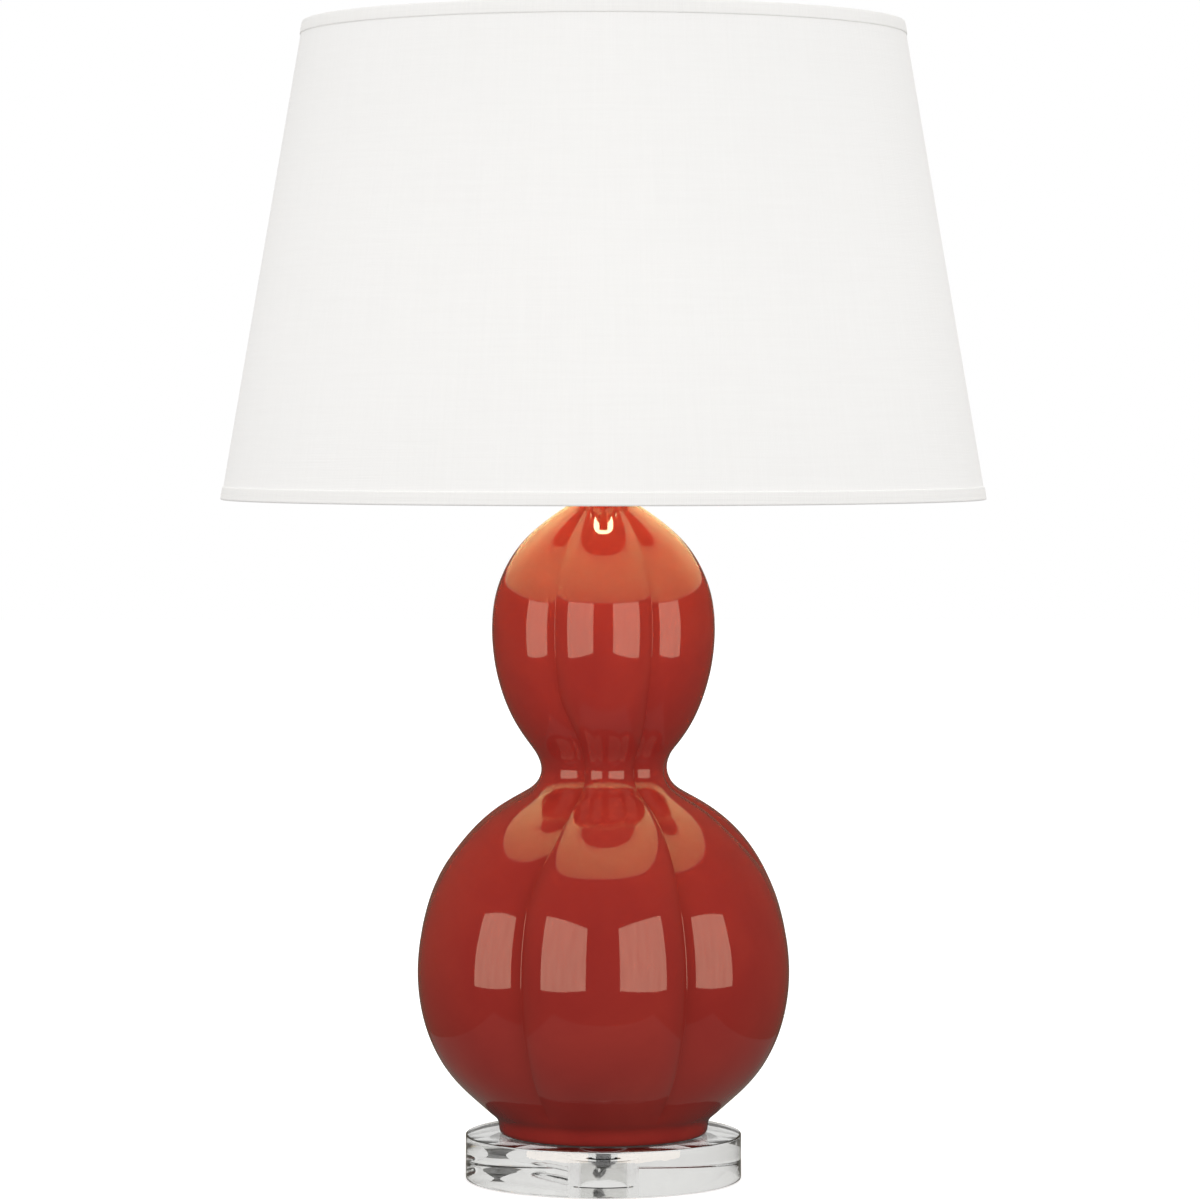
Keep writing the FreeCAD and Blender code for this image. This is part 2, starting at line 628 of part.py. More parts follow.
# Lock sleeves, each on its own leg.
for side, sign in (("left", -1), ("right", 1)):
    low = arm_top + 0.3
    b = turned("harp_sleeve_" + side, [
        (c("sleeve_id") / 2, low), (c("sleeve_od") / 2 + 0.5, low), (c("sleeve_od") / 2 + 0.5, low + 1.2),
        (c("sleeve_od") / 2, low + 2.0), (c("sleeve_od") / 2, low + c("sleeve_len") - 2.0),
        (c("sleeve_od") / 2 + 0.5, low + c("sleeve_len") - 1.2), (c("sleeve_od") / 2 + 0.5, low + c("sleeve_len")),
        (c("sleeve_id") / 2, low + c("sleeve_len"))])
    b.Placement = Placement(Vector(sign * val("harp_leg_x"), 0, 0), Rotation())

# ---------------------------------------------------------------------------------------------- socket
hub_low = seat + st
sr = c("socket_dia") / 2
sm = c("socket_metal")
rim_z = c("socket_base_z")
turned("socket_cap", [
    (bore, hub_low), (c("cap_hub_dia") / 2, hub_low), (c("cap_hub_dia") / 2, hub_low + 8.2),
    (sr + 0.1, rim_z - 3.2, 14.0, -1), (sr + sm + 0.1, rim_z - 2.4), (sr + sm + 0.1, rim_z), (sr + 0.1, rim_z),
    (sr + 0.1, rim_z - 1.9), (sr - sm - 0.2, rim_z - 1.9), (sr - sm - 0.6, rim_z - 3.0),
    (c("cap_hub_dia") / 2 - 0.3, hub_low + 9.4, 13.4, 1), (bore, hub_low + c("cap_hub_len"))])
mouth = c("socket_top_z")
shell = turned("socket_shell", [
    (sr - sm, rim_z - 1.8), (sr, rim_z - 1.8), (sr, mouth - 5.0), (sr + 1.1, mouth - 3.0), (sr + 1.1, mouth),
    (sr + 0.5, mouth), (sr + 0.5, mouth - 2.8), (sr - sm, mouth - 4.8)])
doc.recompute()
v0 = shell.Shape.Volume
sk = new_sketch(shell, "XZ_Plane", "socket_shell_round")
add_circle(sk, c("shaft_dia") / 2 + 1.1, 0.0, c("switch_z"))
hole = shell.newObject("PartDesign::Pocket", "socket_shell_hole")
hole.Profile = sk
hole.setExpression("Length", (sr + 4).t)
hole.Reversed = True
shell.Tip = hole
doc.recompute()
check_less("shell hole", v0, hole.Shape.Volume)

liner = turned("socket_liner", [
    (sr - sm - 1.0, rim_z - 1.2), (sr - sm - 0.1, rim_z - 1.2), (sr - sm - 0.1, mouth - 5.2), (sr - sm - 1.0, mouth - 5.2)])
doc.recompute()
v0 = liner.Shape.Volume
sk = new_sketch(liner, "XZ_Plane", "socket_liner_round")
add_circle(sk, c("shaft_dia") / 2 + 1.1, 0.0, c("switch_z"))
hole = liner.newObject("PartDesign::Pocket", "socket_liner_hole")
hole.Profile = sk
hole.setExpression("Length", (sr + 4).t)
hole.Reversed = True
liner.Tip = hole
doc.recompute()
check_less("liner hole", v0, hole.Shape.Volume)

house_r = sr - sm - 1.3
house = turned("switch_housing", [(0.0, rim_z - 2.0), (house_r - 1.5, rim_z - 2.0), (house_r, rim_z - 0.5),
                                  (house_r, rim_z + 10.8), (0.0, rim_z + 10.8)])
doc.recompute()
v0 = house.Shape.Volume
sk = new_sketch(house, "XZ_Plane", "switch_housing_round")
add_circle(sk, c("shaft_dia") / 2 + 0.05, 0.0, c("switch_z"))
hole = house.newObject("PartDesign::Pocket", "switch_housing_bore")
hole.Profile = sk
hole.setExpression("Length", (sr + 2).t)
hole.Reversed = True
house.Tip = hole
doc.recompute()
check_less("housing bore", v0, hole.Shape.Volume)
if hole.Shape.CenterOfGravity.y < 0:
    raise RuntimeError("the switch bore opens at the back")

# Screw shell with its rolled thread as rings.
low = rim_z + 10.9
thread_in, thread_out = c("bulb_cap_dia") / 2 + 0.35, c("bulb_cap_dia") / 2 + 0.85
turned("screw_shell", [
    (c("bulb_cap_dia") / 2 - 4.0, low), (thread_out, low), (thread_out, mouth - 6.0), (thread_in, mouth - 6.0),
    (thread_in, low + 0.5), (c("bulb_cap_dia") / 2 - 4.0, low + 0.5)])

contact = body_of("centre_contact")
sk = new_sketch(contact, "XZ_Plane", "centre_contact_tongue")
cz = c("bulb_contact_z") - 0.2
add_outline(sk, [(-5.0, rim_z + 10.8), (-4.0, rim_z + 10.8), (-2.4, cz - 0.6), (3.0, cz - 0.6), (3.0, cz),
                 (-2.8, cz)])
pad = contact.newObject("PartDesign::Pad", "centre_contact_pad")
pad.Profile = sk
pad.Midplane = True
pad.Length = 4.0
contact.Tip = pad

# Two terminal screws under the housing.
screws = []
for sign in (-1, 1):
    head = doc.addObject("Part::Cylinder", "terminal_head_%s" % ("l" if sign < 0 else "r"))
    head.Radius = 2.4
    head.Height = 2.1
    head.Placement = Placement(Vector(sign * 8.5, 0, val("socket_base_z") - 4.2), Rotation())
    screws.append(head)
pair = doc.addObject("Part::Compound", "terminal_screws")
pair.Links = screws
keep(pair, "terminal_screws")

shaft = body_of("switch_shaft")
sk = new_sketch(shaft, "XZ_Plane", "switch_shaft_round")
add_circle(sk, c("shaft_dia") / 2, 0.0, c("switch_z"))
pad = shaft.newObject("PartDesign::Pad", "switch_shaft_pad")
pad.Profile = sk
pad.setExpression("Length", (sr + 10).t)
doc.recompute()
if pad.Shape.CenterOfGravity.y > 0:
    pad.Reversed = True
shaft.Tip = pad
shaft.Placement = Placement(Vector(0, -4.0, 0), Rotation())

# Knob: a fluted round grip, bored for the shaft, made along the axis and laid over to point forward.
knob = body_of("switch_knob")
sk = new_sketch(knob, "XZ_Plane", "switch_knob_outline")
kr = c("knob_dia") / 2
add_outline(sk, [(c("shaft_dia") / 2 + 0.02, 0.0), (kr - 1.4, 0.0), (kr - 0.6, 2.0), (kr, 3.2), (kr, c("knob_len") - 1.2),
                 (kr - 1.2, c("knob_len"), 1.2, -1), (0.0, c("knob_len")), (0.0, 11.0), (c("shaft_dia") / 2 + 0.02, 11.0)])
rv = knob.newObject("PartDesign::Revolution", "switch_knob_turned")
rv.Profile = sk
rv.ReferenceAxis = (sk, ["V_Axis"])
rv.Angle = 360.0
doc.recompute()
v0 = rv.Shape.Volume
sk = new_sketch(knob, "XY_Plane", "switch_knob_flute", Dim.of(3.0))
sk.AttachmentOffset = Placement(Vector(0, 0, 3.0), Rotation())
add_circle(sk, 0.75, kr + 0.25, 0.0)
fl = knob.newObject("PartDesign::Pocket", "switch_knob_flute_cut")
fl.Profile = sk
fl.Length = 20.0
fl.Reversed = True
doc.recompute()
check_less("knob flute", v0, fl.Shape.Volume)
pol = knob.newObject("PartDesign::PolarPattern", "switch_knob_flutes")
pol.Originals = [fl]
pol.Axis = (sk, ["N_Axis"])
pol.Angle = 360.0
pol.Occurrences = 16
knob.Tip = pol
doc.recompute()
check_less("knob flutes", fl.Shape.Volume, pol.Shape.Volume)
knob.Placement = Placement(Vector(0, -(val("socket_dia") / 2 + 3.2), val("switch_z")),
                           Rotation(Vector(1, 0, 0), 90))

# ---------------------------------------------------------------------------------------------- bulb
bz = c("bulb_contact_z")
bc = c("bulb_cap_dia") / 2
turned("bulb_contact", [(0.0, bz), (2.2, bz), (3.6, bz + 1.1), (3.6, bz + 1.6), (0.0, bz + 1.6)])
turned("bulb_insulator", [(0.0, bz + 1.65), (4.6, bz + 1.65), (bc - 1.6, bz + 4.6), (bc - 1.6, bz + 5.6), (0.0, bz + 5.6)])
cap_pts = [(bc - 2.2, bz + 5.65), (bc - 0.6, bz + 5.65)]
zc = bz + 6.6
for k in range(4):
    cap_pts += [(bc - 0.7, zc + 3.6 * k), (bc, zc + 3.6 * k + 1.8)]
cap_pts += [(bc - 0.7, zc + 14.4), (bc - 0.2, zc + 15.6), (bc - 0.2, zc + 19.0), (bc - 0.65, zc + 19.0),
            (bc - 1.15, zc + 15.4)]
cap_pts += [(bc - 1.15, bz + 6.2), (bc - 2.2, bz + 6.2)]
turned("bulb_cap", cap_pts)

br = val("bulb_dia") / 2
zt = val("bulb_top")
neck_low = val("bulb_contact_z") + 22.4
glass_pts = [(11.7, neck_low), (12.3, neck_low + 5.0), (13.6, neck_low + 13.0), (17.2, neck_low + 23.0),
             (22.6, neck_low + 33.5), (27.6, neck_low + 44.5), (br, zt - br * 1.02), (br * 0.94, zt - br * 0.64),
             (br * 0.72, zt - br * 0.29), (br * 0.38, zt - br * 0.07), (0.0, zt)]
g = val("glass_wall")


def spline_turned(label, outer_pts, wall):
    """A turned shell from a smooth outline in (radius, height), open at its first point."""
    outer_curve = Part.BSplineCurve()
    outer_curve.interpolate([Vector(r, 0, z) for r, z in outer_pts], InitialTangent=Vector(0.05, 0, 1),
                            FinalTangent=Vector(-1, 0, 0))
    n = len(outer_pts)
    inner = []
    for i in range(n):
        u = outer_curve.parameter(Vector(outer_pts[i][0], 0, outer_pts[i][1]))
        tg = outer_curve.tangent(u)[0]
        nrm = Vector(-tg.z, 0, tg.x)
        inner.append(Vector(outer_pts[i][0], 0, outer_pts[i][1]).add(nrm.multiply(wall)))
    inner[0].z = outer_pts[0][1]
    inner[-1].x = 0.0
    inner_curve = Part.BSplineCurve()
    inner_curve.interpolate(inner, InitialTangent=Vector(0.05, 0, 1), FinalTangent=Vector(-1, 0, 0))
    w = Part.Wire(Part.__sortEdges__([
        outer_curve.toShape(), inner_curve.toShape(),
        Part.makeLine(Vector(outer_pts[0][0], 0, outer_pts[0][1]), inner[0]),
        Part.makeLine(Vector(0, 0, outer_pts[-1][1]), inner[-1])]))
    solid = Part.Face(w).revolve(Vector(0, 0, 0), Vector(0, 0, 1), 360)
    o = keep(doc.addObject("Part::Feature", label), label)
    o.Shape = solid
    o.Placement = Placement()
    return o


spline_turned("bulb_glass", glass_pts, g)
turned("bulb_stem", [(0.0, bz + 22.4), (9.0, bz + 22.4), (8.0, bz + 25.5), (4.2, bz + 28.0), (3.2, bz + 46.0),
                     (1.6, bz + 52.0), (0.0, bz + 52.0)])
fz = val("bulb_contact_z") + 72.0
bits = []
for sign in (-1, 1):
    w, _, _ = tube_along([(sign * 1.0, 0, fz - 19.9), (sign * 5.0, 0, fz - 8.0), (sign * 12.0, 0, fz - 0.4)], 0.3,
                         radii={1: 8.0})
    bits.append(w)
coil = Part.makeCylinder(0.9, 24.6, Vector(-12.3, 0, fz), Vector(1, 0, 0))
fil = coil.fuse(bits)
filament = keep(doc.addObject("Part::Feature", "bulb_filament"), "bulb_filament")
filament.Shape = fil.Solids[0] if len(fil.Solids) == 1 else fil
filament.Placement = Placement()

# ---------------------------------------------------------------------------------------------- shade
zb, ztop = c("shade_bottom_z"), c("shade_top_z")
rb, rt = c("shade_bottom_dia") / 2, c("shade_top_dia") / 2
ft, lt = c("fabric_thick"), c("liner_thick")
both = ft + lt
tt = c("trim_thick")
wr = c("ring_wire") / 2
turned("shade_fabric", [(rb, zb), (rt, ztop), (rt - ft, ztop), (rb - ft, zb)])
turned("shade_liner", [(rb - ft - 0.01, zb), (rt - ft - 0.01, ztop), (rt - both, ztop), (rb - both, zb)])
lean = (rb - rt) / (ztop - zb)          # how much the wall leans in per millimetre of height
tall = c("trim_tall")
ring_in = both + wr * 2 + 0.45          # inner face of the pocket round the wire, from the fabric's outside
turned("shade_bottom_trim", [
    (rb + 0.02, zb), (rb - lean * (tall - 0.6) + 0.02, zb + tall - 0.6),
    (rb - lean * (tall - 0.6) + tt, zb + tall - 0.6), (rb + tt, zb - 0.6), (rb - ring_in - 0.6, zb - 0.6),
    (rb - ring_in - 0.6, zb + 3.4), (rb - both - 0.8 - lean * 6.0, zb + 6.0), (rb - both - 0.1 - lean * 6.0, zb + 6.0),
    (rb - both - 0.1 - lean * 4.8, zb + 4.8), (rb - ring_in, zb + 3.1), (rb - ring_in, zb)])
turned("shade_top_trim", [
    (rt + 0.02, ztop), (rt - ring_in, ztop), (rt - ring_in, ztop - 3.1), (rt - both - 0.1 + lean * 4.8, ztop - 4.8),
    (rt - both - 0.1 + lean * 6.0, ztop - 6.0), (rt - both - 0.8 + lean * 6.0, ztop - 6.0),
    (rt - ring_in - 0.6, ztop - 3.4), (rt - ring_in - 0.6, ztop + 0.6), (rt + tt, ztop + 0.6),
    (rt + lean * (tall - 0.6) + tt, ztop - tall + 0.6), (rt + lean * (tall - 0.6) + 0.02, ztop - tall + 0.6)])
for where in ("bottom", "top"):
    ring = doc.addObject("Part::Torus", "shade_%s_ring" % where)
    edge_r = rb if where == "bottom" else rt
    ring.setExpression("Radius1", (edge_r - both - wr - 0.3).t)
    ring.setExpression("Radius2", wr.t)
    zr = (zb + wr + 0.15) if where == "bottom" else (ztop - wr - 0.15)
    ring.setExpression("Placement.Base.z", zr.t)
    keep(ring, "shade_%s_ring" % where)

hub_z = plate_top + 0.1
ringed("spider_hub", c("hub_dia") / 2, c("hub_hole") / 2, hub_z, c("hub_thick"))
arm_r = val("spider_wire") / 2
hz = hub_z.n + arm_r
ring_r = (rt - both - wr - 0.3).n
ring_z = (ztop - wr - 0.15).n
arms = []
for deg in (90, 210, 330):
    s, _, _ = tube_along([(val("hub_dia") / 2 + 0.01, 0, hz), (ring_r - 32, 0, hz), (ring_r - 14, 0, hz + 5.5),
                          (ring_r - 1.0, 0, ring_z - 0.6)], arm_r)
    s.rotate(Vector(0, 0, 0), Vector(0, 0, 1), deg)
    arms.append(s)
spider = keep(doc.addObject("Part::Feature", "spider_arms"), "spider_arms")
spider.Shape = Part.makeCompound(arms)
spider.Placement = Placement()

# ---------------------------------------------------------------------------------------------- finial
fb = c("finial_base_dia") / 2
f0 = hub_z + c("hub_thick") + 0.1
turned("finial_base", [
    (c("stud_dia") / 2 + 0.08, f0), (fb + 0.6, f0), (fb + 0.6, f0 + 1.4), (fb - 1.2, f0 + 2.6), (fb - 1.2, f0 + 6.0),
    (fb - 0.2, f0 + 8.6), (fb - 0.2, f0 + 10.6), (fb - 1.6, f0 + 12.2), (0.0, f0 + 12.2), (0.0, f0 + 11.2),
    (c("stud_dia") / 2 + 0.08, f0 + 11.2)])
ball_r = c("finial_ball_dia") / 2
ball_low = f0 + 12.25
foot = 3.6
drop = math.sqrt(ball_r.n ** 2 - foot ** 2)
turned("finial_ball", [(0.0, ball_low), (foot, ball_low), (ball_r, ball_low + drop, ball_r, -1),
                       (0.0, ball_low + drop + ball_r, ball_r, -1)])

# ---------------------------------------------------------------------------------------------- lead inside
cr = val("cord_dia") / 2
turn = math.radians(val("cord_hole_turn"))
ux, uy = -math.sin(turn), math.cos(turn)
hz0 = val("cord_hole_z")
half = val("base_dia") / 2
lead_pts = [(0, 0, 486.0), (0, 0, hz0), (-6.3, 5.4, hz0), (13.4 * ux, 13.4 * uy, hz0), (half * ux, half * uy, hz0)]
lead_solid, lead_len, lead_radii = tube_along(lead_pts, cr, radii={1: 4.95, 2: 3.4, 3: 11.0})
print("lead inside the lamp: length", round(lead_len, 1), "radii", lead_radii)
lead = keep(doc.addObject("Part::Feature", "lamp_lead"), "lamp_lead")
lead.Shape = lead_solid
lead.Placement = Placement()

cores = []
for sign in (-1, 1):
    s, _, _ = tube_along([(sign * 1.4, 0, 486.05), (sign * 1.4, 0, 490.3), (sign * 6.05, 0, 490.3)], 0.7,
                         radii={1: 2.2})
    cores.append(s)
bare = keep(doc.addObject("Part::Feature", "lead_wires"), "lead_wires")
bare.Shape = Part.makeCompound(cores)
bare.Placement = Placement()

# ---------------------------------------------------------------------------------------------- free cord
cx, cy, cz0 = val("coil_x"), val("coil_y"), val("cord_z")
tube_pts = [
    (half * ux, half * uy, hz0),
    (-18.8, 106.4, 4.9),
    (-24.0, 123.0, 2.8),
    (-31.5, 141.5, cz0),
    (-37.2, 163.0, cz0),
    (-39.6, 187.0, cz0),
    (-38.6, 213.0, cz0),
    (-37.5, 238.0, cz0 + 0.3),
    (-37.5, 258.0, cz0 + 0.5),
]
t_solid, t_len, t_radii = tube_along(tube_pts, cr)
ring_solid = Part.makeCylinder(val("coil_outer"), val("coil_high") - val("coil_low"),
                               Vector(cx, cy, val("coil_low")))
block = Part.makeCylinder(val("coil_outer"), 40, Vector(cx, cy, -10))
t_solid = t_solid.cut(block)
print("free cord tube: length", round(t_len, 1), "radii", t_radii, "volume ratio",
      round(t_solid.Volume / (math.pi * cr * cr * t_len), 3))
free = keep(doc.addObject("Part::Feature", "cord_tube"), "cord_tube")
free.Shape = t_solid.Solids[0]
free.Placement = Placement()

coil_body = turned("cord_coil", [
    (c("coil_inner"), c("coil_low") + 2.0), (c("coil_inner") + 2.0, c("coil_low"), 2.0, -1),
    (c("coil_outer") - 2.0, c("coil_low")), (c("coil_outer"), c("coil_low") + 2.0, 2.0, -1),
    (c("coil_outer"), c("coil_high") - 2.0), (c("coil_outer") - 2.0, c("coil_high"), 2.0, -1),
    (c("coil_inner") + 2.0, c("coil_high")), (c("coil_inner"), c("coil_high") - 2.0, 2.0, -1)])
coil_body.Placement = Placement(Vector(cx, cy, 0), Rotation())

tail_pts = [(37.5, 262.0, 8.1), (37.7, 248.0, 6.9), (38.3, 236.5, 5.7), (38.0, val("plug_rear_y") - 2.0, val("plug_z"))]
tail_solid, tail_len, tail_radii = tube_along(tail_pts, cr)
tail_solid = tail_solid.cut(block)
tail_solid = tail_solid.cut(Part.makeBox(20, 20, 20, Vector(val("plug_x") - 10, val("plug_rear_y") - 20, -5)))
print("cord tail: length", round(tail_len, 1), "radii", tail_radii)
tail = keep(doc.addObject("Part::Feature", "cord_tail"), "cord_tail")
tail.Shape = tail_solid.Solids[0]
tail.Placement = Placement()

ti, to = c("coil_inner"), c("coil_outer")
tk = c("tie_thick")
tie = body_of("cord_tie")
sk = new_sketch(tie, "XZ_Plane", "cord_tie_frame")
add_outline(sk, [(ti - tk, c("coil_low") - tk), (to + tk, c("coil_low") - tk), (to + tk, c("coil_high") + tk),
                 (ti - tk, c("coil_high") + tk)])
add_outline(sk, [(ti - 0.02, c("coil_low") - 0.02), (to + 0.02, c("coil_low") - 0.02),
                 (to + 0.02, c("coil_high") + 0.02), (ti - 0.02, c("coil_high") + 0.02)])
rv = tie.newObject("PartDesign::Revolution", "cord_tie_turned")
rv.Profile = sk
rv.ReferenceAxis = (sk, ["V_Axis"])
rv.Midplane = True
rv.Angle = 16.0
tie.Tip = rv
tie.Placement = Placement(Vector(cx, cy, 0), Rotation(Vector(0, 0, 1), 78))

# ---------------------------------------------------------------------------------------------- plug
px, py, pz = val("plug_x"), val("plug_rear_y"), val("plug_z")
pw, pt2 = val("plug_wide"), val("plug_thick")
block_len = 21.0
box = doc.addObject("Part::Box", "plug_block")
box.setExpression("Length", c("plug_wide").t)
box.Width = block_len
box.setExpression("Height", c("plug_thick").t)
box.Placement = Placement(Vector(px - pw / 2, py - 10 - block_len, pz - pt2 / 2), Rotation())
relief = doc.addObject("Part::Cone", "plug_relief")
relief.Radius1 = 5.4
relief.Radius2 = 3.1
relief.Height = 10.0
relief.Placement = Placement(Vector(px, py - 10.0, pz), Rotation(Vector(1, 0, 0), -90))
doc.recompute()
soft = doc.addObject("Part::Fillet", "plug_block_round")
soft.Base = box
soft.Edges = [(i + 1, 3.0, 3.0) for i, e in enumerate(box.Shape.Edges)
              if abs(e.Vertexes[0].X - e.Vertexes[1].X) < 1e-6 or True]
doc.recompute()
plug = doc.addObject("Part::MultiFuse", "plug_body")
plug.Shapes = [soft, relief]
keep(plug, "plug_body")
blades = []
for sign, wide in ((-1, 6.35), (1, 7.9)):
    bl = doc.addObject("Part::Box", "plug_blade_%s" % ("l" if sign < 0 else "r"))
    bl.Length = 1.5
    bl.Width = 16.5
    bl.Height = wide
    bl.Placement = Placement(Vector(px + sign * val("blade_gap") / 2 - 0.75, py - 10 - block_len - 16.5,
                                    pz - wide / 2), Rotation())
    blades.append(bl)
pair = doc.addObject("Part::Compound", "plug_blades")
pair.Links = blades
keep(pair, "plug_blades")

# ---------------------------------------------------------------------------------------------- check and write
doc.recompute()
os.makedirs("parts", exist_ok=True)
bad = []
for obj in doc.Objects:
    if "Invalid" in obj.State or "Error" in obj.State:
        bad.append("%s: %s" % (obj.Name, obj.State))
for obj in NODES:
    if obj.Shape.isNull() or not obj.Shape.isValid() or not obj.Shape.Solids:
        bad.append("%s has a bad shape" % obj.Label)
    elif min(s.Volume for s in obj.Shape.Solids) <= 0:
        bad.append("%s has an inside-out solid" % obj.Label)
if bad:
    raise RuntimeError("; ".join(bad))
labels = [o.Label for o in NODES]
if len(set(labels)) != len(labels):
    raise RuntimeError("two nodes share a name")
for obj in NODES:
    obj.Shape.exportStep("parts/%s.step" % obj.Label)
    b = obj.Shape.BoundBox
    print("%-20s solids %d  x %.1f %.1f  y %.1f %.1f  z %.1f %.1f" % (
        obj.Label, len(obj.Shape.Solids), b.XMin, b.XMax, b.YMin, b.YMax, b.ZMin, b.ZMax))
print("nodes", len(NODES))
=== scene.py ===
import bpy
import bmesh
import math
import numpy as np
from mathutils import Vector, Matrix


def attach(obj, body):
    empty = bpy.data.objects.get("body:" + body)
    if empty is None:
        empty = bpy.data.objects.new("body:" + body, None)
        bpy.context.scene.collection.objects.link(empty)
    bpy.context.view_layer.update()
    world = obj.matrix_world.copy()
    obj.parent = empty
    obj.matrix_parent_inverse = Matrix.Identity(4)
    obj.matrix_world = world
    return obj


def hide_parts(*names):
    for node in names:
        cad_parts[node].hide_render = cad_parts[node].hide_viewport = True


# Looks of the double gourd lamp. Metres, +Z up, front towards -Y, origin under the centre of the clear base disc.

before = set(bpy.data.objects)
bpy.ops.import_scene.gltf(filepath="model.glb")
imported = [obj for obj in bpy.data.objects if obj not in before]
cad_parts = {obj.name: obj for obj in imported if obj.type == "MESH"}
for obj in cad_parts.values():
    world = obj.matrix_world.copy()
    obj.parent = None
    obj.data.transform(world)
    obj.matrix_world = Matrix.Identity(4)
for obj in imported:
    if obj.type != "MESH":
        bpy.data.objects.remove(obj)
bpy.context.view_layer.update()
scene = bpy.context.scene
MM = 0.001


# ------------------------------------------------------------------------------------------------ camera
cam_data = bpy.data.cameras.new("photo_camera")
cam_data.sensor_width = 36.0
cam_data.lens = 150.883
cam_data.clip_start, cam_data.clip_end = 0.1, 100.0
cam = bpy.data.objects.new("photo_camera", cam_data)
scene.collection.objects.link(cam)
cam.location = (-0.00228, -3.346, 0.5111)
cam.rotation_euler = (math.radians(90.0 - 2.138), 0.0, 0.0)
scene.camera = cam


# ------------------------------------------------------------------------------------------------ small helpers
def add_mesh(name, verts, faces, smooth=True):
    me = bpy.data.meshes.new(name)
    me.from_pydata([tuple(v) for v in verts], [], [tuple(f) for f in faces])
    me.validate()
    me.update()
    o = bpy.data.objects.new(name, me)
    scene.collection.objects.link(o)
    me.polygons.foreach_set("use_smooth", [smooth] * len(me.polygons))
    return o


def grid_faces(rows, cols, close_cols=True, close_rows=False):
    """Quads over a grid of rows by cols points, numbered row by row."""
    faces = []
    for i in range(rows if close_rows else rows - 1):
        for j in range(cols if close_cols else cols - 1):
            a = i * cols + j
            b = i * cols + (j + 1) % cols
            c = ((i + 1) % rows) * cols + (j + 1) % cols
            d = ((i + 1) % rows) * cols + j
            faces.append((a, b, c, d))
    return faces


def lathe(name, outline, cols=192, closed=True, centre=(0.0, 0.0), wobble=None):
    """A turned piece. The outline is (radius, height) in millimetres, counter-clockwise seen with +r right and +z up."""
    verts = []
    for k, (r, z) in enumerate(outline):
        for j in range(cols):
            a = 2 * math.pi * j / cols
            q = r + (wobble(a, r, z) if wobble else 0.0)
            verts.append((centre[0] + q * MM * math.cos(a), centre[1] + q * MM * math.sin(a), z * MM))
    return add_mesh(name, verts, grid_faces(len(outline), cols, True, closed))


def cubic(knots, values, at):
    """Natural cubic spline through (knots, values), read at the places in at."""
    x, y, at = np.array(knots, float), np.array(values, float), np.array(at, float)
    n = len(x)
    h = np.diff(x)
    m = np.zeros((n, n))
    rhs = np.zeros(n)
    m[0, 0] = m[-1, -1] = 1
    for i in range(1, n - 1):
        m[i, i - 1], m[i, i], m[i, i + 1] = h[i - 1], 2 * (h[i - 1] + h[i]), h[i]
        rhs[i] = 6 * ((y[i + 1] - y[i]) / h[i] - (y[i] - y[i - 1]) / h[i - 1])
    k = np.linalg.solve(m, rhs)
    i = np.clip(np.searchsorted(x, at) - 1, 0, n - 2)
    t, hi = at - x[i], h[i]
    return (y[i] + t * ((y[i + 1] - y[i]) / hi - hi * (2 * k[i] + k[i + 1]) / 6)
            + t * t * k[i] / 2 + t ** 3 * (k[i + 1] - k[i]) / (6 * hi))


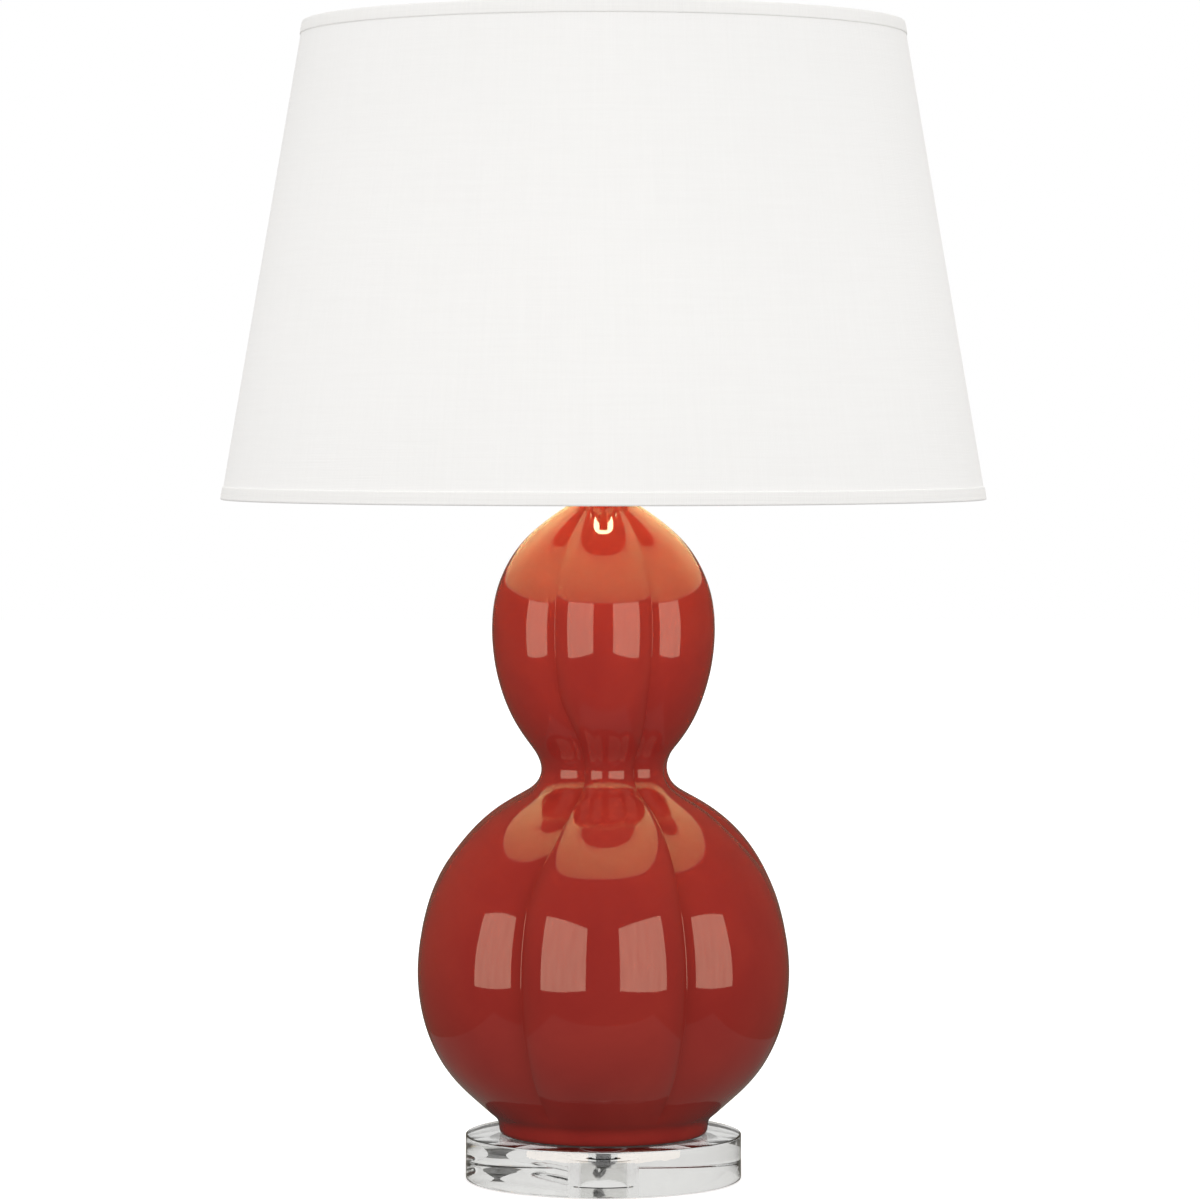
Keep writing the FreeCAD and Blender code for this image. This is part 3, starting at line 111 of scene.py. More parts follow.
# ------------------------------------------------------------------------------------------------ material helpers
class Nodes:
    """A material's node tree with short calls to add and join nodes."""

    def __init__(self, name):
        self.mat = bpy.data.materials.new(name)
        self.mat.use_nodes = True
        self.tree = self.mat.node_tree
        self.tree.nodes.clear()
        self.out = self.tree.nodes.new("ShaderNodeOutputMaterial")

    def add(self, kind, **props):
        n = self.tree.nodes.new(kind)
        for k, v in props.items():
            setattr(n, k, v)
        return n

    def join(self, a, b):
        self.tree.links.new(a, b)

    def coords(self, kind="Object"):
        return self.add("ShaderNodeTexCoord").outputs[kind]

    def mapped(self, source, scale=(1, 1, 1), turn=(0, 0, 0)):
        m = self.add("ShaderNodeMapping")
        m.inputs["Scale"].default_value = scale
        m.inputs["Rotation"].default_value = turn
        self.join(source, m.inputs["Vector"])
        return m.outputs["Vector"]

    def noise(self, source, scale, detail=3.0, rough=0.5, distort=0.0):
        n = self.add("ShaderNodeTexNoise")
        n.inputs["Scale"].default_value = scale
        n.inputs["Detail"].default_value = detail
        n.inputs["Roughness"].default_value = rough
        n.inputs["Distortion"].default_value = distort
        self.join(source, n.inputs["Vector"])
        return n.outputs["Fac"]

    def remap(self, source, a, b, c, d):
        r = self.add("ShaderNodeMapRange")
        for i, v in zip(("From Min", "From Max", "To Min", "To Max"), (a, b, c, d)):
            r.inputs[i].default_value = v
        self.join(source, r.inputs["Value"])
        return r.outputs["Result"]

    def math(self, kind, a, b=None, clamp=False):
        m = self.add("ShaderNodeMath", operation=kind)
        m.use_clamp = clamp
        for i, v in enumerate((a, b)):
            if v is None:
                continue
            if isinstance(v, (int, float)):
                m.inputs[i].default_value = v
            else:
                self.join(v, m.inputs[i])
        return m.outputs[0]

    def ramp(self, source, stops):
        r = self.add("ShaderNodeValToRGB")
        e = r.color_ramp.elements
        while len(e) < len(stops):
            e.new(0.5)
        for s, (p, col) in zip(e, stops):
            s.position = p
            s.color = (*col, 1.0)
        self.join(source, r.inputs["Fac"])
        return r.outputs["Color"]

    def mix(self, fac, a, b, blend="MIX"):
        m = self.add("ShaderNodeMix", data_type="RGBA", blend_type=blend)
        for sock, v in ((m.inputs["Factor"], fac), (m.inputs["A"], a), (m.inputs["B"], b)):
            pass
        sockets = {"f": m.inputs[0], "a": m.inputs[6], "b": m.inputs[7]}
        for key, v in (("f", fac), ("a", a), ("b", b)):
            if isinstance(v, (int, float)):
                sockets[key].default_value = v
            elif isinstance(v, tuple):
                sockets[key].default_value = (*v, 1.0)
            else:
                self.join(v, sockets[key])
        return m.outputs[2]

    def bump(self, height, distance, strength=1.0):
        b = self.add("ShaderNodeBump")
        b.inputs["Strength"].default_value = strength
        b.inputs["Distance"].default_value = distance
        self.join(height, b.inputs["Height"])
        return b.outputs["Normal"]

    def surface(self, base=(0.8, 0.8, 0.8), rough=0.5, metal=0.0, ior=1.5, **more):
        s = self.add("ShaderNodeBsdfPrincipled")
        self.join(s.outputs["BSDF"], self.out.inputs["Surface"])
        s.inputs["Metallic"].default_value = metal
        s.inputs["IOR"].default_value = ior
        for key, v in (("Base Color", base), ("Roughness", rough)):
            if isinstance(v, tuple):
                s.inputs[key].default_value = (*v, 1.0)
            elif isinstance(v, (int, float)):
                s.inputs[key].default_value = v
            else:
                self.join(v, s.inputs[key])
        for key, v in more.items():
            name = key.replace("_", " ")
            if isinstance(v, tuple):
                s.inputs[name].default_value = (*v, 1.0) if len(s.inputs[name].default_value) == 4 else v
            elif isinstance(v, (int, float)):
                s.inputs[name].default_value = v
            else:
                self.join(v, s.inputs[name])
        return s


def metal(name, colour, rough, brush=(0.0, 0.0, 0.0), scale=900.0, spread=0.10, depth=0.00003):
    """Plated or turned metal: the noise is stretched along the tool marks."""
    n = Nodes(name)
    at = n.mapped(n.coords(), brush if any(brush) else (1, 1, 1))
    grain = n.noise(at, scale, 4.0, 0.6)
    cloud = n.noise(n.coords(), 60.0, 3.0, 0.5)
    tone = n.ramp(cloud, [(0.3, tuple(c * 0.86 for c in colour)), (0.7, colour)])
    n.surface(base=tone, rough=n.remap(grain, 0.3, 0.7, max(0.03, rough - spread), rough + spread), metal=1.0,
              Normal=n.bump(grain, depth, 0.6))
    return n.mat


def plastic(name, colour, rough, ior=1.46, depth=0.00003, scale=1400.0):
    n = Nodes(name)
    grain = n.noise(n.coords(), scale, 3.0, 0.6)
    cloud = n.noise(n.coords(), 90.0, 2.0, 0.5)
    tone = n.ramp(cloud, [(0.3, tuple(c * 0.93 for c in colour)), (0.7, colour)])
    n.surface(base=tone, rough=n.remap(grain, 0.3, 0.7, rough - 0.05, rough + 0.05), ior=ior,
              Normal=n.bump(grain, depth, 0.5))
    return n.mat


def paint(name_or_object, material):
    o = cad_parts[name_or_object] if isinstance(name_or_object, str) else name_or_object
    o.data.materials.clear()
    o.data.materials.append(material)
    return o


# ------------------------------------------------------------------------------------------------ cord
CORD_DIA = 5.0 * MM
route = [
    (-15.98, 90.60, 5.6), (-18.8, 106.4, 4.9), (-24.0, 123.0, 2.8), (-31.5, 141.5, 2.6), (-37.2, 163.0, 2.6),
    (-39.6, 187.0, 2.6), (-38.6, 213.0, 2.6), (-37.6, 238.0, 2.9), (-37.6, 256.0, 3.1),
]
# The put-away coil. It comes in at the left and runs clockwise seen from above: five rows inwards on the table, up, and
# the same five rows outwards on top. Each turn keeps its row for six tenths of the way round and then steps over.
COIL = (0.0, 268.0)
PER_TURN = 16
ROWS = (37.5, 32.5, 27.5, 22.5, 17.5)
SWELL = 0.981                      # a smooth line through a ring of sixteen points runs this much inside them


def step_over(x):
    x = min(1.0, max(0.0, x))
    return x * x * (3 - 2 * x)


def coil_point(turn, r, z):
    a = math.pi - 2 * math.pi * turn
    r = r / SWELL
    return (COIL[0] + r * math.cos(a), COIL[1] + r * math.sin(a), z)


def row_in(turn):
    k = min(4, int(turn))
    return ROWS[k] - (5.0 * step_over((turn - k - 0.6) / 0.4) if k < 4 else 0.0)


def row_out(turn):
    k = min(4, max(0, int(turn - 4.9)))
    return ROWS[4 - k] + (5.0 * step_over((turn - k - 5.5) / 0.4) if k < 4 else 0.0)


for i in range(0, 75):             # on the table, up to 4.6 turns
    t = i / PER_TURN
    if t > 4.6:
        break
    route.append(coil_point(t, row_in(t), 3.1))
for t, z in ((4.6250, 3.7), (4.6875, 5.2), (4.7500, 6.7), (4.8125, 7.7), (4.8750, 8.1)):
    route.append(coil_point(t, 17.5, z))
for i in range(79, 153):           # on top, from 4.94 turns to 9.5
    t = i / PER_TURN
    route.append(coil_point(t, row_out(t), 8.12))
route += [(38.0, 255.5, 7.9), (37.9, 246.0, 7.2), (38.0, 237.0, 6.6), (38.0, 227.5, 6.5)]


def nurbs(name, points_mm, radius=0.0, resolution=6, ring=6):
    cu = bpy.data.curves.new(name, "CURVE")
    cu.dimensions = "3D"
    cu.resolution_u = resolution
    sp = cu.splines.new("NURBS")
    sp.points.add(len(points_mm) - 1)
    for p, q in zip(sp.points, points_mm):
        p.co = (q[0] * MM, q[1] * MM, q[2] * MM, 1.0)
    sp.order_u = 3
    sp.use_endpoint_u = True
    cu.bevel_depth = radius
    cu.bevel_resolution = ring
    cu.use_fill_caps = radius > 0
    o = bpy.data.objects.new(name, cu)
    scene.collection.objects.link(o)
    return o


def line_of(points_mm, resolution=6):
    """The points that the smooth route itself passes through, in metres."""
    o = nurbs("route_probe", points_mm, 0.0, resolution)
    me = bpy.data.meshes.new_from_object(o)
    pts = np.array([v.co for v in me.vertices], float).reshape(-1, 3)
    bpy.data.meshes.remove(me)
    cu = o.data
    bpy.data.objects.remove(o)
    bpy.data.curves.remove(cu)
    return pts


def even(pts, step):
    along = np.concatenate([[0], np.cumsum(np.linalg.norm(np.diff(pts, axis=0), axis=1))])
    n = max(2, int(math.ceil(along[-1] / step)) + 1)
    at = np.linspace(0, along[-1], n)
    return np.stack([np.interp(at, along, pts[:, k]) for k in range(3)], axis=1), at


def strand(name, pts, offset, phase, pitch, radius, sides=8, step=0.0016):
    """A wire wound about a smooth line at an offset from it."""
    p, at = even(pts, step)
    tan = np.gradient(p, axis=0)
    tan /= np.linalg.norm(tan, axis=1)[:, None]
    nrm = np.cross(tan[0], (0.0, 0.0, 1.0))
    if np.linalg.norm(nrm) < 1e-6:
        nrm = np.cross(tan[0], (0.0, 1.0, 0.0))
    normals = []
    for t in tan:
        nrm = nrm - t * float(nrm @ t)
        nrm = nrm / np.linalg.norm(nrm)
        normals.append(nrm)
    normals = np.array(normals)
    bi = np.cross(tan, normals)
    ang = phase + 2 * math.pi * at / pitch
    c = p + offset * (np.cos(ang)[:, None] * normals + np.sin(ang)[:, None] * bi)
    tc = np.gradient(c, axis=0)
    tc /= np.linalg.norm(tc, axis=1)[:, None]
    verts = []
    nn = normals[0]
    for k in range(len(c)):
        nn = nn - tc[k] * float(nn @ tc[k])
        nn = nn / np.linalg.norm(nn)
        bb = np.cross(tc[k], nn)
        for j in range(sides):
            a = 2 * math.pi * j / sides
            verts.append(c[k] + radius * (math.cos(a) * nn + math.sin(a) * bb))
    faces = grid_faces(len(c), sides, True, False)
    faces = [f[::-1] for f in faces]
    faces.append(tuple(range(sides)))
    faces.append(tuple(reversed(range((len(c) - 1) * sides, len(c) * sides))))
    return add_mesh(name, verts, faces)


cord = nurbs("cord_jacket", route, CORD_DIA / 2)
cord_line = line_of(route)
cord_length = float(np.linalg.norm(np.diff(cord_line, axis=0), axis=1).sum())
print("free cord length", round(cord_length, 4))
strand_a = strand("cord_strand_silver", cord_line, 0.00105, 0.0, 0.024, 0.00088)
strand_b = strand("cord_strand_copper", cord_line, 0.00105, math.pi, 0.024, 0.00088)

# ------------------------------------------------------------------------------------------------ the clear cord
def clear_jacket():
    n = Nodes("clear_jacket")
    grain = n.noise(n.coords(), 420.0, 3.0, 0.5)
    n.surface(base=n.ramp(grain, [(0.3, (0.90, 0.91, 0.90)), (0.7, (0.97, 0.97, 0.96))]), rough=n.remap(grain, 0.3, 0.7, 0.05, 0.12),
              ior=1.5, Transmission_Weight=1.0, Normal=n.bump(grain, 0.00008, 0.5))
    return n.mat


def strand_metal(name, colour):
    n = Nodes(name)
    at = n.coords()
    fine = n.noise(at, 2600.0, 4.0, 0.65)
    slow = n.noise(at, 160.0, 2.0, 0.5)
    tone = n.mix(n.remap(slow, 0.3, 0.7, 0.0, 1.0), tuple(c * 0.78 for c in colour), colour)
    n.surface(base=tone, rough=n.remap(fine, 0.3, 0.7, 0.22, 0.42), metal=0.6, Normal=n.bump(fine, 0.00020, 0.9))
    return n.mat


jacket_mat = clear_jacket()
silver_mat = strand_metal("tinned_strands", (0.62, 0.62, 0.63))
silver_mat_b = strand_metal("tinned_strands_b", (0.55, 0.55, 0.56))
cord.data.materials.append(jacket_mat)
for piece, mat in ((strand_a, silver_mat), (strand_b, silver_mat_b)):
    paint(piece, mat)
for piece in (cord, strand_a, strand_b):
    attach(piece, "root")
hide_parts("cord_tube", "cord_coil", "cord_tail")

# The two strands of the lead, where it shows inside the clear disc.
lead_route = [
    (0.0, 0.0, 44.0), (0.0, 0.0, 30.0), (0.0, 0.0, 15.4), (0.0, 0.0, 5.6), (-6.3, 5.4, 5.6), (-4.2, 9.6, 5.6),
    (-2.33, 13.2, 5.6), (-3.3, 18.6, 5.6), (-6.5, 37.0, 5.6), (-11.3, 64.0, 5.6), (-15.9, 90.2, 5.6),
]
lead_line = line_of(lead_route, 12)
lead_a = strand("lead_strand_one", lead_line, 0.00098, 0.6, 0.017, 0.00086, 10, 0.0008)
lead_b = strand("lead_strand_two", lead_line, 0.00098, 0.6 + math.pi, 0.017, 0.00086, 10, 0.0008)
for piece, mat in ((lead_a, silver_mat), (lead_b, silver_mat_b)):
    paint(piece, mat)
    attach(piece, "root")
paint("lamp_lead", jacket_mat)
paint("lead_wires", metal("bare_copper", (0.72, 0.42, 0.27), 0.32, scale=2400.0))


# ------------------------------------------------------------------------------------------------ plug and tie
def loft(name, rings, close_ends=True, smooth=True):
    cols = len(rings[0])
    verts = [p for ring in rings for p in ring]
    faces = grid_faces(len(rings), cols, True, False)
    if close_ends:
        faces.append(tuple(reversed(range(cols))))
        faces.append(tuple(range((len(rings) - 1) * cols, len(rings) * cols)))
    o = add_mesh(name, verts, faces, smooth)
    bm = bmesh.new()
    bm.from_mesh(o.data)
    bmesh.ops.recalc_face_normals(bm, faces=bm.faces)
    bm.to_mesh(o.data)
    bm.free()
    return o


def sharpen(o, degrees=30.0):
    o.data.set_sharp_from_angle(angle=math.radians(degrees))
    return o


def plug_ring(y, wide, tall, power, count=48):
    out = []
    for j in range(count):
        a = 2 * math.pi * j / count
        ca, sa = math.cos(a), math.sin(a)
        x = math.copysign(abs(ca) ** (2 / power), ca) * wide / 2
        z = math.copysign(abs(sa) ** (2 / power), sa) * tall / 2
        out.append(((38.0 + x) * MM, y * MM, (6.5 + z) * MM))
    return out


rings = [plug_ring(195.0, 17.2, 9.8, 5.0), plug_ring(195.05, 18.6, 11.2, 5.0), plug_ring(195.5, 19.6, 12.2, 5.0),
         plug_ring(196.3, 20.0, 12.6, 5.0), plug_ring(199.4, 20.0, 12.6, 5.0), plug_ring(199.7, 19.5, 12.1, 5.0),
         plug_ring(200.5, 19.5, 12.1, 5.0), plug_ring(200.8, 20.0, 12.6, 5.0)]
for y, w, t, p in ((204.0, 19.2, 12.3, 4.5), (207.5, 17.4, 11.8, 4.0), (210.5, 15.4, 11.2, 3.5), (213.0, 13.6, 10.8, 3.0),
                   (215.0, 12.2, 10.6, 2.6), (216.4, 11.2, 10.4, 2.3)):
    rings.append(plug_ring(y, w, t, p))
for k in range(6):                 # ribbed relief that thins towards the cord
    y = 217.0 + 3.1 * k
    d = 10.2 - 0.62 * k
    rings += [plug_ring(y, d - 1.9, d - 1.9, 2.0), plug_ring(y + 0.7, d - 1.9, d - 1.9, 2.0),
              plug_ring(y + 1.0, d - 0.3, d - 0.3, 2.0), plug_ring(y + 1.25, d, d, 2.0),
              plug_ring(y + 2.35, d - 0.25, d - 0.25, 2.0), plug_ring(y + 2.6, d - 0.6, d - 0.6, 2.0)]
rings += [plug_ring(235.8, 6.0, 6.0, 2.0), plug_ring(236.4, 5.6, 5.6, 2.0)]
plug = sharpen(loft("plug_moulding", rings), 40.0)


def clear_plug():
    n = Nodes("clear_plug_moulding")
    grain = n.noise(n.coords(), 700.0, 3.0, 0.5)
    cloud = n.noise(n.coords(), 55.0, 2.0, 0.5)
    n.surface(base=n.ramp(cloud, [(0.3, (0.62, 0.62, 0.61)), (0.7, (0.72, 0.72, 0.71))]),
              rough=n.remap(grain, 0.3, 0.7, 0.16, 0.30), ior=1.5, Transmission_Weight=0.25,
              Subsurface_Weight=0.0, Normal=n.bump(grain, 0.00010, 0.6))
    return n.mat


paint(plug, clear_plug())
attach(plug, "root")
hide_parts("plug_body")
paint("plug_blades", metal("blade_brass", (0.80, 0.66, 0.42), 0.22, brush=(1.0, 30.0, 30.0), scale=160.0))

# A soft strap round the coil, its ends lapped and pressed together on top.
TIE_ANGLE = math.radians(78.0)
tie_path = []
lo_r, hi_r, lo_z, hi_z, turn_r = 14.7, 40.3, 0.65, 10.95, 2.9
for cx, cz, start in ((hi_r - turn_r, lo_z + turn_r, -90), (hi_r - turn_r, hi_z - turn_r, 0),
                      (lo_r + turn_r, hi_z - turn_r, 90), (lo_r + turn_r, lo_z + turn_r, 180)):
    for k in range(9):
        a = math.radians(start + 90 * k / 8)
        tie_path.append((cx + turn_r * math.cos(a), cz + turn_r * math.sin(a), math.cos(a), math.sin(a)))


def strap(name, path, half, thick, closed, lift=0.0):
    verts, count = [], 0
    er = Vector((math.cos(TIE_ANGLE), math.sin(TIE_ANGLE), 0.0))
    et = Vector((-math.sin(TIE_ANGLE), math.cos(TIE_ANGLE), 0.0))
    cross = [(-half, 0.12 * thick), (-half + 0.25, 0.0), (0.0, -0.02), (half - 0.25, 0.0), (half, 0.12 * thick),
             (half, 0.88 * thick), (half - 0.25, thick), (0.0, thick + 0.05), (-half + 0.25, thick), (-half, 0.88 * thick)]
    for r, z, nr, nz in path:
        for side, out in cross:
            q = out + lift
            p = Vector((COIL[0], COIL[1], 0.0)) + er * (r + nr * q) + et * side + Vector((0, 0, z + nz * q))
            verts.append(p * MM)
    faces = grid_faces(len(path), len(cross), True, closed)
    if not closed:
        faces.append(tuple(range(len(cross))))
        faces.append(tuple(reversed(range((len(path) - 1) * len(cross), len(path) * len(cross)))))
    o = add_mesh(name, verts, faces)
    bm = bmesh.new()
    bm.from_mesh(o.data)
    bmesh.ops.recalc_face_normals(bm, faces=bm.faces)
    bm.to_mesh(o.data)
    bm.free()
    return sharpen(o, 50.0)


tie = strap("coil_strap", tie_path, 4.6, 0.55, True)
lap = [(r, z, nr, nz) for r, z, nr, nz in tie_path if z > 7.0]
lap = [(33.5 - 1.1 * k, hi_z, 0.0, 1.0) for k in range(12)]
tie_lap = strap("coil_strap_lap", lap, 4.4, 0.5, False, 0.56)


def strap_weave():
    n = Nodes("strap_weave")
    at = n.coords()
    warp = n.noise(n.mapped(at, (1.0, 9.0, 1.0), (0, 0, TIE_ANGLE)), 900.0, 3.0, 0.6)
    nap = n.noise(at, 3200.0, 2.0, 0.6)
    tone = n.ramp(warp, [(0.3, (0.40, 0.40, 0.39)), (0.7, (0.54, 0.54, 0.53))])
    n.surface(base=tone, rough=n.remap(nap, 0.3, 0.7, 0.75, 0.95), ior=1.45, Normal=n.bump(n.math("ADD", warp, nap), 0.0002, 0.7),
              Sheen_Weight=0.35, Sheen_Roughness=0.4)
    return n.mat


strap_mat = strap_weave()
for piece in (tie, tie_lap):
    paint(piece, strap_mat)
    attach(piece, "root")
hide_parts("cord_tie")


# ------------------------------------------------------------------------------------------------ gourd body
# Height, front crest radius and groove depth (a share of that radius) up the body, in millimetres.
PROFILE = [
    (30.00, 66.64, 0.0000), (31.10, 68.55, 0.0000), (33.40, 69.55, 0.0000), (37.00, 70.05, 0.0000),
    (40.43, 71.46, 0.0000), (44.06, 75.46, 0.0102), (48.69, 80.94, 0.0280), (55.75, 89.02, 0.0462),
    (63.41, 97.24, 0.0599), (71.67, 104.74, 0.0692), (80.57, 111.12, 0.0739), (90.14, 116.42, 0.0754),
    (100.15, 120.68, 0.0770), (110.62, 123.89, 0.0773), (121.24, 126.06, 0.0775), (132.06, 127.31, 0.0778),
    (142.83, 127.62, 0.0780), (153.68, 126.98, 0.0782), (164.42, 125.50, 0.0784), (175.02, 123.10, 0.0786),
    (185.46, 119.98, 0.0787), (195.66, 115.95, 0.0789), (205.50, 111.14, 0.0799), (214.84, 105.15, 0.0814),
    (223.72, 98.36, 0.0828), (231.91, 91.09, 0.0853), (239.44, 83.17, 0.0878), (246.17, 74.61, 0.0907),
    (252.10, 65.42, 0.0934), (257.62, 55.71, 0.0958), (264.35, 46.94, 0.0992), (274.39, 43.61, 0.1039),
    (284.51, 47.09, 0.1014), (293.53, 53.56, 0.0986), (302.74, 59.54, 0.0949), (312.36, 64.57, 0.0914),
    (322.28, 68.68, 0.0889), (332.60, 71.96, 0.0868), (343.12, 74.42, 0.0858), (353.84, 75.96, 0.0849),
    (364.66, 76.67, 0.0840), (375.46, 76.36, 0.0834), (386.26, 74.91, 0.0828), (396.66, 72.22, 0.0822),
    (406.76, 68.08, 0.0796), (416.25, 62.48, 0.0761), (424.75, 55.77, 0.0731), (432.15, 47.96, 0.0623),
    (438.95, 39.31, 0.0485), (445.45, 30.05, 0.0322), (451.45, 20.43, 0.0082),
]
LOBE_STEPS = np.arange(-180.0, 181.0, 30.0)      # crest, groove, crest, ... for six even lobes
SWELL_AT = np.array([0.0, 0.7, 1.0, 0.0, 1.0, 0.7, 0.0])


def ease(low, high, x):
    x = min(1.0, max(0.0, (x - low) / (high - low)))
    return x * x * (3 - 2 * x)


def lobe_places(height):
    """Azimuths of the crests and grooves, which wander a little as on a body pressed by hand."""
    waist = ease(185.0, 268.0, height) * (1 - ease(285.0, 330.0, height))
    left, right = 27.0 - 9.0 * waist, 27.2 + 3.3 * waist
    far_l = 89.0 + 3.0 * ease(190.0, 230.0, height) * (1 - ease(262.0, 300.0, height))
    far_r = 89.0 - 10.0 * ease(200.0, 240.0, height) * (1 - ease(258.0, 300.0, height))
    return np.array([-180.0, -149.5, -(far_l + 149.5) / 2, -far_l, 1.8 - (left + far_l) / 2, -left, 2.6 * waist, right,
                     (right + far_r) / 2 - 1.8, far_r, (far_r + 149.5) / 2, 149.5, 180.0])


def lobe_section(source, depth, height):
    """Radius as a share of the front crest's, and 0 on a crest to 1 in a groove. The glaze rounds the grooves at the top."""
    soft = 0.004 + 0.13 * ease(384.0, 412.0, height)
    steep = 3.0 - 0.85 * ease(245.0, 266.0, height) * (1 - ease(285.0, 312.0, height))
    v = 1.0 - np.abs((source + 30.0) % 60.0 - 30.0) / 30.0
    g = (1.0 - (np.sqrt(v * v + soft * soft) - soft) / (math.sqrt(1 + soft * soft) - soft)) ** steep
    top = 1.0 + 0.16 * depth * SWELL_AT[np.round((source + 180.0) / 60.0).astype(int)]
    return top * (1.0 - (1.0 - (1.0 - depth) / top) * g), g


def gourd():
    prof = np.array(PROFILE)
    run = np.concatenate([[0], np.cumsum(np.hypot(np.diff(prof[:, 0]), np.diff(prof[:, 1])))])
    rows = 340
    at = np.linspace(0, run[-1], rows)
    z = cubic(run, prof[:, 0], at)
    r = cubic(run, prof[:, 1], at)
    d = np.clip(np.interp(at, run, prof[:, 2]), 0, None)
    kernel = np.hanning(19)
    d = np.convolve(np.pad(d, 9, mode="edge"), kernel / kernel.sum(), mode="valid")
    near = 1.0 - (1.0 - np.arange(36) / 36.0) ** 1.5         # closer columns near a groove
    half = np.concatenate([30.0 * near, 60.0 - 30.0 * near[::-1]])
    half[36:] = 30.0 + 30.0 * (np.arange(36) / 36.0) ** 1.5
    source = np.concatenate([half + 60.0 * k for k in range(6)]) - 180.0
    cols = len(source)
    outline = []                   # (radius, height, depth)
    for q, h in ((6.0, 30.0), (6.4, 30.0), (20.0, 30.0), (40.0, 30.0), (56.0, 30.0), (63.0, 30.0), (65.6, 30.0)):
        outline.append((q, h, 0.0))
    outline += [(float(a), float(b), float(c)) for a, b, c in zip(r, z, d)]
    outline += [(19.4, 451.9, 0.0), (18.2, 452.05, 0.0), (14.0, 452.05, 0.0), (12.4, 451.9, 0.0), (12.0, 451.3, 0.0),
                (12.0, 447.0, 0.0), (12.0, 443.5, 0.0), (13.5, 440.5, 0.0)]
    outline[len(outline) - 8] = (19.6, 451.45, 0.0)
    outline = [o for o in outline]
    # the hollow, a wall's thickness inside the lobes
    for k in range(len(prof) - 3, 6, -1):
        z0, r0, _ = prof[k - 1]
        z1, r1, d1 = prof[k]
        z2, r2, _ = prof[k + 1]
        slope = (r2 - r0) / (z2 - z0)
        steep = math.sqrt(1 + slope * slope)
        zi, ri = z1 + 5.5 * slope / steep, r1 * (1 - d1) - 5.5 / steep
        if 41.0 < zi < 436.0 and ri > 14.0 and zi < outline[-1][1] - 1.5:
            crest = r1 - 7.5 / steep
            outline.append((crest, zi, max(0.0, 1 - ri / crest)))
    outline += [(58.0, 36.4, 0.0), (54.0, 36.0, 0.0), (30.0, 36.0, 0.0), (6.4, 36.0, 0.0), (6.0, 35.6, 0.0), (6.0, 33.0, 0.0)]
    verts, depth = [], []
    for q, h, dd in outline:
        ratio, g = lobe_section(source, dd, h)
        ang = np.radians(np.interp(source, LOBE_STEPS, lobe_places(h)) - 90.0)
        rr = q * ratio
        top = 451.45
        for j in range(cols):
            verts.append((rr[j] * MM * math.cos(ang[j]), rr[j] * MM * math.sin(ang[j]), max(30.06, min(h, top)) * MM))
            depth.append(float(g[j] * min(1.0, dd / 0.04)))
    o = add_mesh("gourd_glazed", verts, grid_faces(len(outline), cols, True, True))
    layer = o.data.attributes.new("groove", "FLOAT", "POINT")
    layer.data.foreach_set("value", depth)
    bare = o.data.attributes.new("bare", "FLOAT", "POINT")
    flags = []
    for i, (q, h, dd) in enumerate(outline):
        v = 1.0 if (h < 30.4 and q < 67.2) or i > 7 + rows + 2 else 0.0
        flags += [v] * cols
    bare.data.foreach_set("value", flags)
    return sharpen(o, 40.0)


body = gourd()


def glaze():
    n = Nodes("oxblood_glaze")
    at = n.coords()
    depth = n.add("ShaderNodeAttribute", attribute_name="groove").outputs["Fac"]
    bare = n.add("ShaderNodeAttribute", attribute_name="bare").outputs["Fac"]
    cloud = n.noise(at, 14.0, 4.0, 0.55, 0.6)
    fine = n.noise(at, 230.0, 4.0, 0.6)
    tone = n.ramp(cloud, [(0.25, (0.270, 0.0215, 0.0175)), (0.5, (0.302, 0.0250, 0.0195)), (0.78, (0.335, 0.0305, 0.0215))])
    sep = n.add("ShaderNodeSeparateXYZ")
    n.join(at, sep.inputs[0])
    # Darker in the grooves, more so on the lower bulb than on the upper.
    groove_darkening = n.math("MULTIPLY", n.math("POWER", depth, 3.0), n.remap(sep.outputs["Z"], 0.250, 0.300, 0.40, 0.12))
    tone = n.mix(groove_darkening, tone, (0.205, 0.018, 0.012))
    tone = n.mix(n.remap(fine, 0.35, 0.65, 0.0, 0.10), tone, (0.24, 0.022, 0.014))
    clay = n.ramp(n.noise(at, 420.0, 4.0, 0.6), [(0.3, (0.085, 0.060, 0.052)), (0.7, (0.125, 0.088, 0.074))])
    edge = n.math("GREATER_THAN", bare, 0.5)
    colour = n.mix(edge, tone, clay)
    peel = n.noise(at, 95.0, 2.0, 0.45)
    ripple = n.noise(at, 26.0, 1.0, 0.4)
    height = n.math("ADD", n.math("MULTIPLY", peel, 0.22), ripple)
    s = n.surface(base=colour, rough=n.mix(edge, n.ramp(fine, [(0.3, (0.03, 0.03, 0.03)), (0.7, (0.055, 0.055, 0.055))]),
                                           (0.85, 0.85, 0.85)),
                  ior=1.5, Normal=n.bump(height, 0.00012, 0.55))
    return n.mat


paint(body, glaze())
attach(body, "root")
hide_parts("gourd_body")


